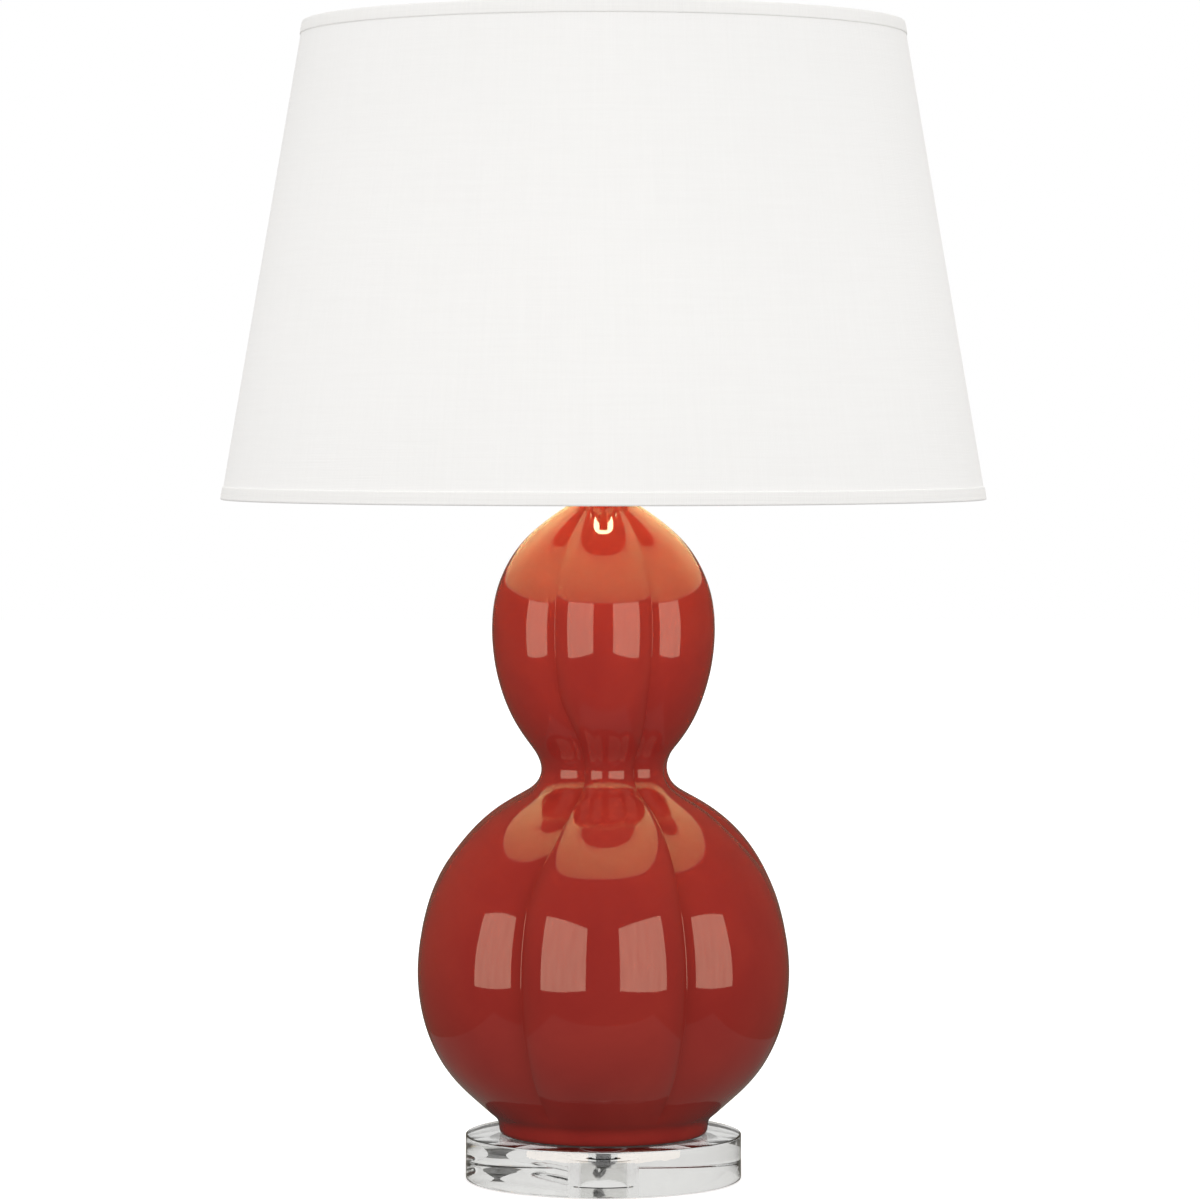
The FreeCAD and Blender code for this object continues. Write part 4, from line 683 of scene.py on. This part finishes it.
# ------------------------------------------------------------------------------------------------ clear base disc
def disc():
    r, t, b, seg = 92.0, 30.0, 1.0, 6
    out = [(5.3, t)]
    hole = 15.875
    profile = [(5.3, 15.5), (hole - 0.25, 15.5), (hole, 15.25), (hole, 0.3), (hole + 0.3, 0.0), (40.0, 0.0), (70.0, 0.0)]
    for k in range(seg + 1):
        a = math.radians(-90 + 90 * k / seg)
        profile.append((r - b + b * math.cos(a), b + b * math.sin(a)))
    for k in range(seg + 1):
        a = math.radians(90 * k / seg)
        profile.append((r - b + b * math.cos(a), t - b + b * math.sin(a)))
    profile += [(70.0, t), (40.0, t), (5.3, t)]
    o = lathe("clear_disc", profile, 256, True)
    cutter = lathe("cord_bore", [(0.01, -98.0), (4.0, -98.0), (4.0, 98.0 - 98.0), (0.01, 0.0)], 64, True)
    turn = math.radians(10.0)
    cutter.rotation_euler = (math.radians(90.0), 0.0, turn)
    cutter.location = (0.0, 0.0, 5.6 * MM)
    bm = bmesh.new()
    bm.from_mesh(cutter.data)
    bmesh.ops.remove_doubles(bm, verts=bm.verts, dist=0.00003)
    bmesh.ops.recalc_face_normals(bm, faces=bm.faces)
    bm.to_mesh(cutter.data)
    bm.free()
    cut = o.modifiers.new("cord_bore", "BOOLEAN")
    cut.operation = "DIFFERENCE"
    cut.solver = "EXACT"
    cut.object = cutter
    bpy.context.view_layer.update()
    done = bpy.data.meshes.new_from_object(o.evaluated_get(bpy.context.evaluated_depsgraph_get()))
    o.modifiers.clear()
    old = o.data
    o.data = done
    bpy.data.meshes.remove(old)
    bpy.data.objects.remove(cutter)
    bm = bmesh.new()
    bm.from_mesh(o.data)
    bmesh.ops.remove_doubles(bm, verts=bm.verts, dist=0.000002)
    bmesh.ops.recalc_face_normals(bm, faces=bm.faces)
    bm.to_mesh(o.data)
    bm.free()
    o.data.polygons.foreach_set("use_smooth", [True] * len(o.data.polygons))
    return sharpen(o, 24.0)


clear = disc()


def acrylic(name, low, high, marks, dark, light):
    n = Nodes(name)
    at = n.coords()
    grain = n.noise(n.mapped(at, (1, 1, 12)) if marks else at, 240.0 if marks else 90.0, 3.0, 0.5)
    n.surface(base=n.ramp(grain, [(0.2, dark), (0.8, light)]),
              rough=n.remap(grain, 0.3, 0.7, low, high), ior=1.49, Transmission_Weight=1.0,
              Normal=n.bump(grain, 0.00006 if marks else 0.000008, 0.5))
    return n.mat


paint(clear, acrylic("polished_acrylic", 0.0, 0.012, False, (0.955, 0.962, 0.950), (0.975, 0.980, 0.970)))
clear.data.materials.append(acrylic("turned_acrylic", 0.10, 0.22, True, (0.78, 0.78, 0.765), (0.86, 0.86, 0.845)))
# The side wall gets a greyer copy of the polished acrylic: painted shade on the disc's rim.
clear.data.materials.append(acrylic("polished_rim_painted_grey", 0.0, 0.02, False, (0.72, 0.718, 0.702), (0.78, 0.778, 0.762)))
for p in clear.data.polygons:
    c = p.center
    if math.hypot(c.x, c.y) < 0.01600 and c.z < 0.0154 and c.z > 0.0002 or (math.hypot(c.x, c.y) < 0.0056 and c.z < 0.0299):
        p.material_index = 1
    turn = math.radians(10.0)
    side = c.x * math.cos(turn) + c.y * math.sin(turn)
    if abs(math.hypot(side, c.z - 0.0056) - 0.004) < 0.0003 and math.hypot(c.x, c.y) < 0.0921 and c.y > 0:
        p.material_index = 1
    # the side wall takes the greyer, painted-shade copy
    elif math.hypot(c.x, c.y) > 0.0905 and abs(p.normal.z) < 0.6:
        p.material_index = 2
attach(clear, "root")
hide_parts("base_disc")

# ------------------------------------------------------------------------------------------------ metalwork
nickel = metal("nickel_plate", (0.66, 0.64, 0.60), 0.16, scale=700.0)
zinc = metal("zinc_plate", (0.33, 0.33, 0.345), 0.30, brush=(1.0, 1.0, 8.0), scale=420.0)
steel = metal("steel_dark", (0.20, 0.195, 0.19), 0.34, scale=900.0)
brass = metal("brass_turned", (0.80, 0.60, 0.32), 0.20, brush=(1.0, 1.0, 26.0), scale=240.0)
alu = metal("drawn_aluminium", (0.80, 0.80, 0.81), 0.24, brush=(1.0, 1.0, 18.0), scale=300.0)
solder = metal("solder_dull", (0.52, 0.52, 0.53), 0.42, scale=1500.0)
paint("base_washer", metal("washer_steel", (0.58, 0.58, 0.57), 0.22, scale=600.0))
paint("base_lock_nut", zinc)
paint("lamp_pipe", zinc)
paint("pipe_bushing", plastic("bushing_nylon", (0.045, 0.044, 0.043), 0.42))
for node in ("vase_cap", "neck_spacer", "harp_saddle", "harp_bow", "harp_stud", "harp_sleeve_left", "harp_sleeve_right",
             "finial_base", "finial_ball", "socket_cap", "socket_shell"):
    paint(node, nickel)
paint("top_lock_nut", zinc)
paint("socket_liner", plastic("liner_card", (0.60, 0.53, 0.40), 0.85, scale=500.0, depth=0.0001))
paint("switch_housing", plastic("phenolic", (0.03, 0.027, 0.025), 0.38))
paint("screw_shell", brass)
paint("centre_contact", brass)
paint("terminal_screws", brass)
paint("switch_shaft", brass)
paint("switch_knob", plastic("knob_plastic", (0.022, 0.021, 0.021), 0.30))
paint("bulb_contact", solder)
paint("bulb_insulator", plastic("insulator_glass", (0.015, 0.015, 0.02), 0.12, ior=1.55))
paint("bulb_cap", alu)
paint("bulb_filament", metal("tungsten", (0.40, 0.38, 0.36), 0.35, scale=3000.0))


def clear_glass():
    n = Nodes("stem_glass")
    grain = n.noise(n.coords(), 160.0, 2.0, 0.5)
    n.surface(base=(0.93, 0.95, 0.95), rough=n.remap(grain, 0.3, 0.7, 0.0, 0.03), ior=1.5, Transmission_Weight=1.0,
              Normal=n.bump(grain, 0.00005, 0.5))
    return n.mat


paint("bulb_stem", clear_glass())

# ------------------------------------------------------------------------------------------------ bulb
g_r = [11.7, 12.3, 13.6, 17.2, 22.6, 27.6, 30.15, 28.34, 21.71, 11.46, 0.35]
g_z = [529.7, 534.7, 542.7, 552.7, 563.2, 574.2, 586.25, 597.70, 608.26, 614.89, 617.0]
g_s = np.concatenate([[0], np.cumsum(np.hypot(np.diff(g_r), np.diff(g_z)))])
g_at = np.linspace(0, g_s[-1], 60)
out_r, out_z = cubic(g_s, g_r, g_at), np.minimum(cubic(g_s, g_z, g_at), 617.0)
glass_line = [(float(a), float(b)) for a, b in zip(out_r, out_z)]
inner_line = []
for k in range(len(glass_line) - 1, -1, -1):
    a = glass_line[max(0, k - 1)]
    b = glass_line[min(len(glass_line) - 1, k + 1)]
    tr, tz = b[0] - a[0], b[1] - a[1]
    q = math.hypot(tr, tz)
    inner_line.append((max(0.35, glass_line[k][0] - 0.8 * tz / q), glass_line[k][1] + 0.8 * tr / q))
bulb = lathe("bulb_envelope", glass_line + inner_line, 128, True)
bm = bmesh.new()
bm.from_mesh(bulb.data)
for zc in (617.0, 616.2):
    ring = [v for v in bm.verts if abs(v.co.z - zc * MM) < 0.00022 and math.hypot(v.co.x, v.co.y) < 0.0006]
    if ring:
        bmesh.ops.pointmerge(bm, verts=ring, merge_co=(0, 0, sum(v.co.z for v in ring) / len(ring)))
bmesh.ops.recalc_face_normals(bm, faces=bm.faces)
bm.to_mesh(bulb.data)
bm.free()


def lit_glass():
    n = Nodes("frosted_lit_glass")
    at = n.coords()
    sep = n.add("ShaderNodeSeparateXYZ")
    n.join(at, sep.inputs[0])
    frost = n.noise(at, 900.0, 3.0, 0.6)
    glow = n.remap(sep.outputs["Z"], 0.530, 0.556, 6.0, 27.0)
    s = n.surface(base=n.ramp(frost, [(0.3, (0.86, 0.85, 0.82)), (0.7, (0.92, 0.91, 0.88))]),
                  rough=n.remap(frost, 0.3, 0.7, 0.28, 0.42), ior=1.5, Normal=n.bump(frost, 0.00004, 0.5),
                  Emission_Color=(1.0, 0.84, 0.46), Emission_Strength=glow)
    return n.mat


paint(bulb, lit_glass())
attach(bulb, "bulb")
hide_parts("bulb_glass")

# ------------------------------------------------------------------------------------------------ shade
SB_Z, ST_Z, SB_R, ST_R = 453.9, 768.6, 253.55, 199.05
LEAN = (SB_R - ST_R) / (ST_Z - SB_Z)


def shade_r(z):
    return SB_R - LEAN * (z - SB_Z)


def wrap_uv(o, rows, cols, along, radius):
    """Maps the piece in metres: u round it, v along its outline. The join is at the back."""
    uv = o.data.uv_layers.new(name="metres")
    for p in o.data.polygons:
        for li in p.loop_indices:
            vi = o.data.loops[li].vertex_index
            i, j = divmod(vi, cols)
            u = j
            if j == 0 and any(o.data.loops[k].vertex_index % cols == cols - 1 for k in p.loop_indices):
                u = cols
            uv.data[li].uv = (2 * math.pi * radius * MM * u / cols, along[i] * MM)


def cone_piece(name, outline, cols=384, wobble=None, radius=226.0):
    """A turned piece that starts and ends its turn at the back."""
    verts = []
    for r, z in outline:
        for j in range(cols):
            a = math.pi / 2 + 2 * math.pi * j / cols
            q = r + (wobble(a, r, z) if wobble else 0.0)
            verts.append((q * MM * math.cos(a), q * MM * math.sin(a), z * MM))
    o = add_mesh(name, verts, grid_faces(len(outline), cols, True, True))
    along = [0.0]
    for (r0, z0), (r1, z1) in zip(outline, outline[1:]):
        along.append(along[-1] + math.hypot(r1 - r0, z1 - z0))
    wrap_uv(o, len(outline), cols, along, radius)
    return o


def back_lap(a, r, z):
    """The cloth's vertical lap at the back."""
    d = (a - math.pi / 2 - 0.030) % (2 * math.pi)
    d = d if d < math.pi else d - 2 * math.pi
    s = d * r
    return 0.30 / (1 + math.exp(-s / 0.35)) * (1 if s < 12 else 0) if -3 < s < 12 else 0.0


cloth_out = [(shade_r(SB_Z + (ST_Z - SB_Z) * k / 24), SB_Z + (ST_Z - SB_Z) * k / 24) for k in range(25)]
cloth_in = [(r - 0.6, z) for r, z in reversed(cloth_out)]
cloth = sharpen(cone_piece("shade_linen", cloth_out + cloth_in, 1024, lambda a, r, z: back_lap(a, r, z)), 50.0)
liner_out = [(shade_r(z) - 0.61, z) for z in [SB_Z + (ST_Z - SB_Z) * k / 16 for k in range(17)]]
liner_in = [(shade_r(z) - 1.1, z) for z in [ST_Z - (ST_Z - SB_Z) * k / 16 for k in range(17)]]
liner = sharpen(cone_piece("shade_liner_sheet", liner_out + liner_in, 384), 50.0)


def tape_wave(amount, seed):
    def wave(a, r, z):
        return amount * (math.sin(17 * a + seed) * 0.5 + math.sin(41 * a + 2.3 * seed) * 0.3 + math.sin(97 * a + seed * 0.7) * 0.2)
    return wave


def tape(z_edge, up, name, seed):
    """Tape folded over an edge of the shade: outside band, rolled edge, and a narrower band inside over the wire."""
    out = []
    z = lambda d: z_edge + up * d
    def r_at(d):
        return shade_r(z(d))
    # outside face, from its far end to the fold
    band = 8.0
    out.append((r_at(band) + 0.03, z(band)))
    out.append((r_at(band) + 0.40, z(band + 0.06)))
    out.append((r_at(band - 0.25) + 0.68, z(band - 0.15)))
    for d in (7.0, 6.0, 5.0, 4.0, 3.0, 2.0, 1.0):
        out.append((r_at(d) + 0.70 + (0.05 if d in (4.0, 5.0) else 0.0), z(d)))
    for deg in (0, 30, 60, 90):
        a = math.radians(deg)
        out.append((SB_R if up > 0 else ST_R, 0))
        out.pop()
        edge_r = r_at(0)
        out.append((edge_r - 0.30 + 1.0 * math.cos(a), z(0.40 - 1.0 * math.sin(a))))
    edge_r = r_at(0)
    inner = edge_r - 4.75
    out.append((edge_r - 2.5, z(-0.60)))
    for deg in (90, 120, 150, 180):
        a = math.radians(deg)
        out.append((inner + 1.2 + 1.2 * math.cos(a), z(0.60 - 1.2 * math.sin(a))))
    out.append((inner, z(2.4)))
    out.append((inner + 0.5, z(3.3)))
    out.append((inner + 1.6, z(4.3)))
    out.append((r_at(5.4) - 1.95, z(5.4)))
    out.append((r_at(6.0) - 1.85, z(6.0)))
    out.append((r_at(6.0) - 1.15, z(6.05)))
    out.append((r_at(5.2) - 1.12, z(5.2)))
    out.append((r_at(4.6) - 1.30, z(4.6)))
    out.append((inner + 1.4, z(3.3)))
    out.append((inner + 0.6, z(2.3)))
    out.append((inner + 0.6, z(1.0)))
    out.append((inner + 0.9, z(0.35)))
    out.append((inner + 1.6, z(0.02)))
    out.append((edge_r - 0.2, z(-0.02)))
    out.append((edge_r + 0.02, z(0.25)))
    out.append((r_at(4.0) + 0.02, z(4.0)))
    if up < 0:
        out = out[::-1]
    return sharpen(cone_piece(name, out, 512, tape_wave(0.06, seed)), 60.0)


low_tape = tape(SB_Z, 1.0, "tape_bottom", 0.4)
high_tape = tape(ST_Z, -1.0, "tape_top", 1.9)


def linen(name, base_low, base_high, glow, slub, painted_glow_band=None, warm=(1.0, 0.992, 0.972)):
    """Plain white weave. Slubs run both ways; the threads are finer than a pixel at arm's length."""
    n = Nodes(name)
    uv = n.add("ShaderNodeUVMap", uv_map="metres").outputs["UV"]
    weft = n.noise(n.mapped(uv, (26.0, 1500.0, 1.0)), 1.0, 3.0, 0.55)
    warp = n.noise(n.mapped(uv, (1500.0, 22.0, 1.0)), 1.0, 3.0, 0.55)
    thick = n.noise(n.mapped(uv, (14.0, 420.0, 1.0)), 1.0, 2.0, 0.5)
    thick_v = n.noise(n.mapped(uv, (420.0, 12.0, 1.0)), 1.0, 2.0, 0.5)
    cloud = n.noise(n.mapped(uv, (9.0, 9.0, 1.0)), 1.0, 3.0, 0.5)
    threads = n.math("ADD", n.math("ADD", weft, warp), n.math("MULTIPLY", n.math("ADD", thick, thick_v), 0.9))
    shade = n.remap(threads, 1.55, 2.25, 1.0 - slub, 1.0)
    tone = n.mix(shade, base_low, base_high)
    # The emission is painted light: the bulb's light coming through the cloth, painted as a glow that follows the
    # slubs.
    level = n.remap(threads, 1.55, 2.25, 1.0 - slub * 1.2, 1.0)
    level = n.math("MULTIPLY", level, n.remap(cloud, 0.3, 0.7, 0.985, 1.015))
    # Brightest in a band round the bulb's height, dimmer towards the rims.
    if painted_glow_band:
        sep = n.add("ShaderNodeSeparateXYZ")
        n.join(n.coords(), sep.inputs[0])
        off = n.math("DIVIDE", n.math("SUBTRACT", sep.outputs["Z"], painted_glow_band[0]), painted_glow_band[1])
        bell = n.math("POWER", 2.718, n.math("MULTIPLY", n.math("MULTIPLY", off, off), -1.0))
        level = n.math("MULTIPLY", level, n.remap(bell, 0.0, 1.0, painted_glow_band[2], 1.0))
    weave_h = n.add("ShaderNodeTexWave", wave_type="BANDS", bands_direction="X")
    weave_h.inputs["Scale"].default_value = 320.0
    weave_h.inputs["Distortion"].default_value = 0.6
    n.join(uv, weave_h.inputs["Vector"])
    weave_v = n.add("ShaderNodeTexWave", wave_type="BANDS", bands_direction="Y")
    weave_v.inputs["Scale"].default_value = 320.0
    weave_v.inputs["Distortion"].default_value = 0.6
    n.join(uv, weave_v.inputs["Vector"])
    height = n.math("ADD", n.math("MULTIPLY", n.math("ADD", weave_h.outputs["Fac"], weave_v.outputs["Fac"]), 0.25), threads)
    n.surface(base=tone, rough=0.9, ior=1.45, Normal=n.bump(height, 0.00012, 0.5), Sheen_Weight=0.12,
              Sheen_Roughness=0.5, Emission_Color=warm, Emission_Strength=n.math("MULTIPLY", level, glow))
    return n.mat


# The cloth and the tape glow with painted light, the bulb's light showing through them.
paint(cloth, linen("white_linen", (0.80, 0.79, 0.775), (0.875, 0.872, 0.862), 0.120, 0.10, (0.588, 0.16, 0.78)))
tape_mat = linen("linen_tape", (0.76, 0.75, 0.735), (0.84, 0.835, 0.82), 0.12, 0.14)
for piece in (low_tape, high_tape):
    paint(piece, tape_mat)


def styrene():
    n = Nodes("styrene_sheet")
    at = n.coords()
    cloud = n.noise(at, 12.0, 3.0, 0.5)
    sep = n.add("ShaderNodeSeparateXYZ")
    n.join(at, sep.inputs[0])
    # Painted light: the bulb's light on the inside of the shade is painted as a warm glow, brightest round the bulb's
    # height.
    off = n.math("DIVIDE", n.math("SUBTRACT", sep.outputs["Z"], 0.605), 0.15)
    bell = n.math("POWER", 2.718, n.math("MULTIPLY", n.math("MULTIPLY", off, off), -1.0))
    level = n.math("MULTIPLY", n.remap(bell, 0.0, 1.0, 0.17, 0.73), n.remap(cloud, 0.3, 0.7, 0.97, 1.03))
    n.surface(base=n.ramp(cloud, [(0.3, (0.86, 0.835, 0.73)), (0.7, (0.90, 0.875, 0.77))]), rough=0.42, ior=1.49,
              Emission_Color=(1.0, 0.84, 0.27), Emission_Strength=level, Normal=n.bump(cloud, 0.0001, 0.2))
    return n.mat


paint(liner, styrene())
white_wire = plastic("white_enamel", (0.80, 0.79, 0.77), 0.30)
for node in ("shade_bottom_ring", "shade_top_ring", "spider_arms"):
    paint(node, white_wire)
paint("spider_hub", nickel)
for piece, node, name in ((cloth, "shade_fabric", "white_linen"), (liner, "shade_liner", "white_liner"),
                          (low_tape, "shade_bottom_trim", "white_tape"), (high_tape, "shade_top_trim", "white_tape")):
    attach(piece, "shade")
    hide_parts(node)


# ------------------------------------------------------------------------------------------------ floor and light
def emitter(name, strength, colour):
    n = Nodes(name)
    e = n.add("ShaderNodeEmission")
    e.inputs["Color"].default_value = (*colour, 1.0)
    n.join(e.outputs[0], n.out.inputs["Surface"])
    if isinstance(strength, (int, float)):
        e.inputs["Strength"].default_value = strength
    return n, e


floor_mat = Nodes("pale_floor")
paper = floor_mat.noise(floor_mat.coords(), 3.0, 3.0, 0.5)
floor_top = floor_mat.surface(base=floor_mat.ramp(paper, [(0.3, (0.80, 0.80, 0.80)), (0.7, (0.82, 0.82, 0.82))]), rough=0.8,
                  Emission_Color=(1.0, 1.0, 1.0), Emission_Strength=0.62)
# The floor is seen from above only.
one_way = floor_mat.add("ShaderNodeMixShader")
floor_mat.join(floor_mat.add("ShaderNodeNewGeometry").outputs["Backfacing"], one_way.inputs[0])
floor_mat.join(floor_top.outputs[0], one_way.inputs[1])
floor_mat.join(floor_mat.add("ShaderNodeBsdfTransparent").outputs[0], one_way.inputs[2])
floor_mat.join(one_way.outputs[0], floor_mat.out.inputs["Surface"])
floor = add_mesh("floor", [(-9, -9, -0.0004), (9, -9, -0.0004), (9, 9, -0.0004), (-9, 9, -0.0004)], [(0, 1, 2, 3)], False)
floor.data.materials.append(floor_mat.mat)
floor.visible_glossy = floor.visible_diffuse = floor.visible_transmission = False

dim, dim_e = emitter("table_in_reflection", None, (1.0, 0.95, 0.82))
dim.join(dim.remap(dim.noise(dim.coords(), 5.0, 2.0, 0.5), 0.3, 0.7, 0.20, 0.24), dim_e.inputs["Strength"])
table = add_mesh("table_top", [(-0.285, -0.335, -0.0003), (0.275, -0.335, -0.0003), (0.275, 0.30, -0.0003),
                               (-0.285, 0.30, -0.0003)], [(0, 1, 2, 3)], False)
table.data.materials.append(dim.mat)

# What the glaze mirrors of the clear disc: a dim ring, seen from above only.
shy = Nodes("disc_in_reflection")
back = shy.add("ShaderNodeNewGeometry").outputs["Backfacing"]
gleam = shy.add("ShaderNodeEmission")
gleam.inputs["Color"].default_value = (1.0, 0.95, 0.85, 1.0)
shy.join(shy.remap(shy.noise(shy.coords(), 20.0, 2.0, 0.5), 0.3, 0.7, 0.05, 0.08), gleam.inputs["Strength"])
pick = shy.add("ShaderNodeMixShader")
shy.join(back, pick.inputs[0])
shy.join(gleam.outputs[0], pick.inputs[1])
shy.join(shy.add("ShaderNodeBsdfTransparent").outputs[0], pick.inputs[2])
shy.join(pick.outputs[0], shy.out.inputs["Surface"])
turns = [2 * math.pi * k / 128 for k in range(128)]
veil = add_mesh("disc_veil", [(r * math.cos(a), r * math.sin(a), 0.0302) for r in (0.0672, 0.0918) for a in turns],
                [(k, 128 + k, 128 + (k + 1) % 128, (k + 1) % 128) for k in range(128)], False)
veil.data.materials.append(shy.mat)
sheen, sheen_e = emitter("paper_in_reflection", None, (1.0, 0.985, 0.955))
sheen.join(sheen.remap(sheen.noise(sheen.coords(), 6.0, 2.0, 0.5), 0.3, 0.7, 0.30, 0.38), sheen_e.inputs["Strength"])
paper_back = add_mesh("paper_behind", [(-0.10, 0.20, 0.045), (0.10, 0.20, 0.045), (0.10, 0.20, 0.115), (-0.10, 0.20, 0.115)],
                      [(0, 1, 2, 3)], False)
paper_back.data.materials.append(sheen.mat)
# A dim ring on the table under the clear disc, seen only through the acrylic: a painted shadow of the body's foot.
painted_shadow, painted_shadow_e = emitter("painted_shadow_mat", None, (1.0, 0.94, 0.92))
painted_shadow.join(painted_shadow.remap(painted_shadow.noise(painted_shadow.coords(), 30.0, 2.0, 0.5), 0.3, 0.7, 0.05, 0.08), painted_shadow_e.inputs["Strength"])
ring = [(r * math.cos(a) * MM, r * math.sin(a) * MM, -0.0002) for r in (20.0, 76.0) for a in turns]
shadow_ring = add_mesh("painted_shadow_under_disc", ring, [(k, 128 + k, 128 + (k + 1) % 128, (k + 1) % 128) for k in range(128)], False)
shadow_ring.data.materials.append(painted_shadow.mat)
shadow_ring.visible_camera = shadow_ring.visible_diffuse = shadow_ring.visible_glossy = shadow_ring.visible_shadow = False
for unseen in (table, veil, paper_back):
    unseen.visible_camera = unseen.visible_diffuse = unseen.visible_transmission = unseen.visible_shadow = False


def softbox(name, az, width, low, high, dist, strength, colour):
    """A lit panel at an azimuth from the front, between two heights. It shows only in glossy reflections."""
    a = math.radians(az)
    half = dist * math.tan(math.radians(width / 2))
    c = Vector((dist * math.sin(a), -dist * math.cos(a), 0.0))
    side = Vector((math.cos(a), math.sin(a), 0.0))
    verts = [c - side * half + Vector((0, 0, low)), c + side * half + Vector((0, 0, low)),
             c + side * half + Vector((0, 0, high)), c - side * half + Vector((0, 0, high))]
    o = add_mesh(name, verts, [(0, 1, 2, 3)], False)
    n, e = emitter(name, None, colour)
    at = n.coords("Object")
    streak = n.noise(n.mapped(at, (2.0, 2.0, 0.5), (0, 0.5, 0)), 3.0, 4.0, 0.6)
    n.join(n.remap(streak, 0.3, 0.7, strength * 0.86, strength * 1.12), e.inputs["Strength"])
    o.data.materials.append(n.mat)
    o.visible_camera = False
    o.visible_diffuse = False
    o.visible_transmission = False
    o.visible_shadow = False
    return o


softbox("panel_left", -38.6, 53.0, -0.105, 1.05, 1.70, 4.1, (1.0, 0.76, 0.56))
softbox("panel_right", 38.0, 53.6, -0.105, 1.05, 1.70, 4.1, (1.0, 0.76, 0.56))


def area(name, where, look, size, power, glossy=False):
    data = bpy.data.lights.new(name, "AREA")
    data.shape = "DISK"
    data.size = size
    data.energy = power
    o = bpy.data.objects.new(name, data)
    scene.collection.objects.link(o)
    o.location = where
    o.rotation_euler = (Vector(look) - Vector(where)).to_track_quat("-Z", "Y").to_euler()
    o.visible_glossy = glossy
    o.visible_camera = False
    o.visible_transmission = False
    return o


area("key_soft", (0.3, -2.6, 2.4), (0, 0, 0.50), 1.6, 11.0)
area("fill_left", (-2.6, -1.4, 1.2), (0, 0, 0.35), 1.6, 9.8)
area("fill_right", (2.6, -1.2, 1.1), (0, 0, 0.35), 1.6, 7.8)


def spot(name, where, look, degrees, power):
    data = bpy.data.lights.new(name, "SPOT")
    data.spot_size = math.radians(degrees)
    data.spot_blend = 1.0
    data.shadow_soft_size = 0.03
    data.energy = power
    o = bpy.data.objects.new(name, data)
    scene.collection.objects.link(o)
    o.location = where
    o.rotation_euler = (Vector(look) - Vector(where)).to_track_quat("-Z", "Y").to_euler()
    o.visible_glossy = o.visible_camera = o.visible_transmission = False


spot("fill_low", (0.05, -1.35, 0.22), (0, 0, 0.10), 16.0, 9.0)
spot("fill_high", (0.05, -1.35, 0.34), (0, 0, 0.348), 9.8, 25.0)

world = bpy.data.worlds.new("studio")
scene.world = world
world.use_nodes = True
wt = world.node_tree
wt.nodes.clear()
w_out = wt.nodes.new("ShaderNodeOutputWorld")
w_bg = wt.nodes.new("ShaderNodeBackground")
wt.links.new(w_bg.outputs[0], w_out.inputs["Surface"])
rays = wt.nodes.new("ShaderNodeLightPath")
geo = wt.nodes.new("ShaderNodeTexCoord")
sep = wt.nodes.new("ShaderNodeSeparateXYZ")
wt.links.new(geo.outputs["Generated"], sep.inputs[0])


def w_math(kind, a, b=None, c=None):
    m = wt.nodes.new("ShaderNodeMath")
    m.operation = kind
    for i, v in enumerate((a, b, c)):
        if v is None:
            continue
        if isinstance(v, (int, float)):
            m.inputs[i].default_value = v
        else:
            wt.links.new(v, m.inputs[i])
    return m.outputs[0]


def w_range(v, a, b, c, d):
    r = wt.nodes.new("ShaderNodeMapRange")
    r.interpolation_type = "SMOOTHSTEP"
    for i, q in zip(("From Min", "From Max", "To Min", "To Max"), (a, b, c, d)):
        r.inputs[i].default_value = q
    wt.links.new(v, r.inputs["Value"])
    return r.outputs["Result"]


sides = w_range(sep.outputs["Y"], -0.75, 0.35, 0.07, 0.13)
glossy_level = sides
camera_ray = rays.outputs["Is Camera Ray"]
through = rays.outputs["Is Transmission Ray"]
soft_before = w_math("MINIMUM", rays.outputs["Diffuse Depth"], 1.0)
clear_level = w_math("SUBTRACT", 1.0, w_math("MULTIPLY", soft_before, 0.62))
diffuse = rays.outputs["Is Diffuse Ray"]
around = w_range(sep.outputs["Z"], -0.60, 0.15, 0.36, 0.895)
level = w_math("ADD", camera_ray, w_math("MULTIPLY", through, clear_level))
level = w_math("ADD", level, w_math("MULTIPLY", diffuse, around))
rest = w_math("SUBTRACT", w_math("SUBTRACT", 1.0, w_math("MAXIMUM", camera_ray, through)), diffuse)
rest = w_math("MAXIMUM", rest, 0.0)
level = w_math("ADD", level, w_math("MULTIPLY", rest, glossy_level))
wt.links.new(level, w_bg.inputs["Strength"])
tint = wt.nodes.new("ShaderNodeMix")
tint.data_type = "RGBA"
wt.links.new(rest, tint.inputs[0])
tint.inputs[6].default_value = (1.0, 1.0, 1.0, 1.0)
tint.inputs[7].default_value = (1.0, 0.86, 0.62, 1.0)
wt.links.new(tint.outputs[2], w_bg.inputs["Color"])

scene.view_settings.view_transform = "Standard"
scene.view_settings.look = "None"
scene.view_settings.exposure = 0.0
scene.view_settings.gamma = 1.0
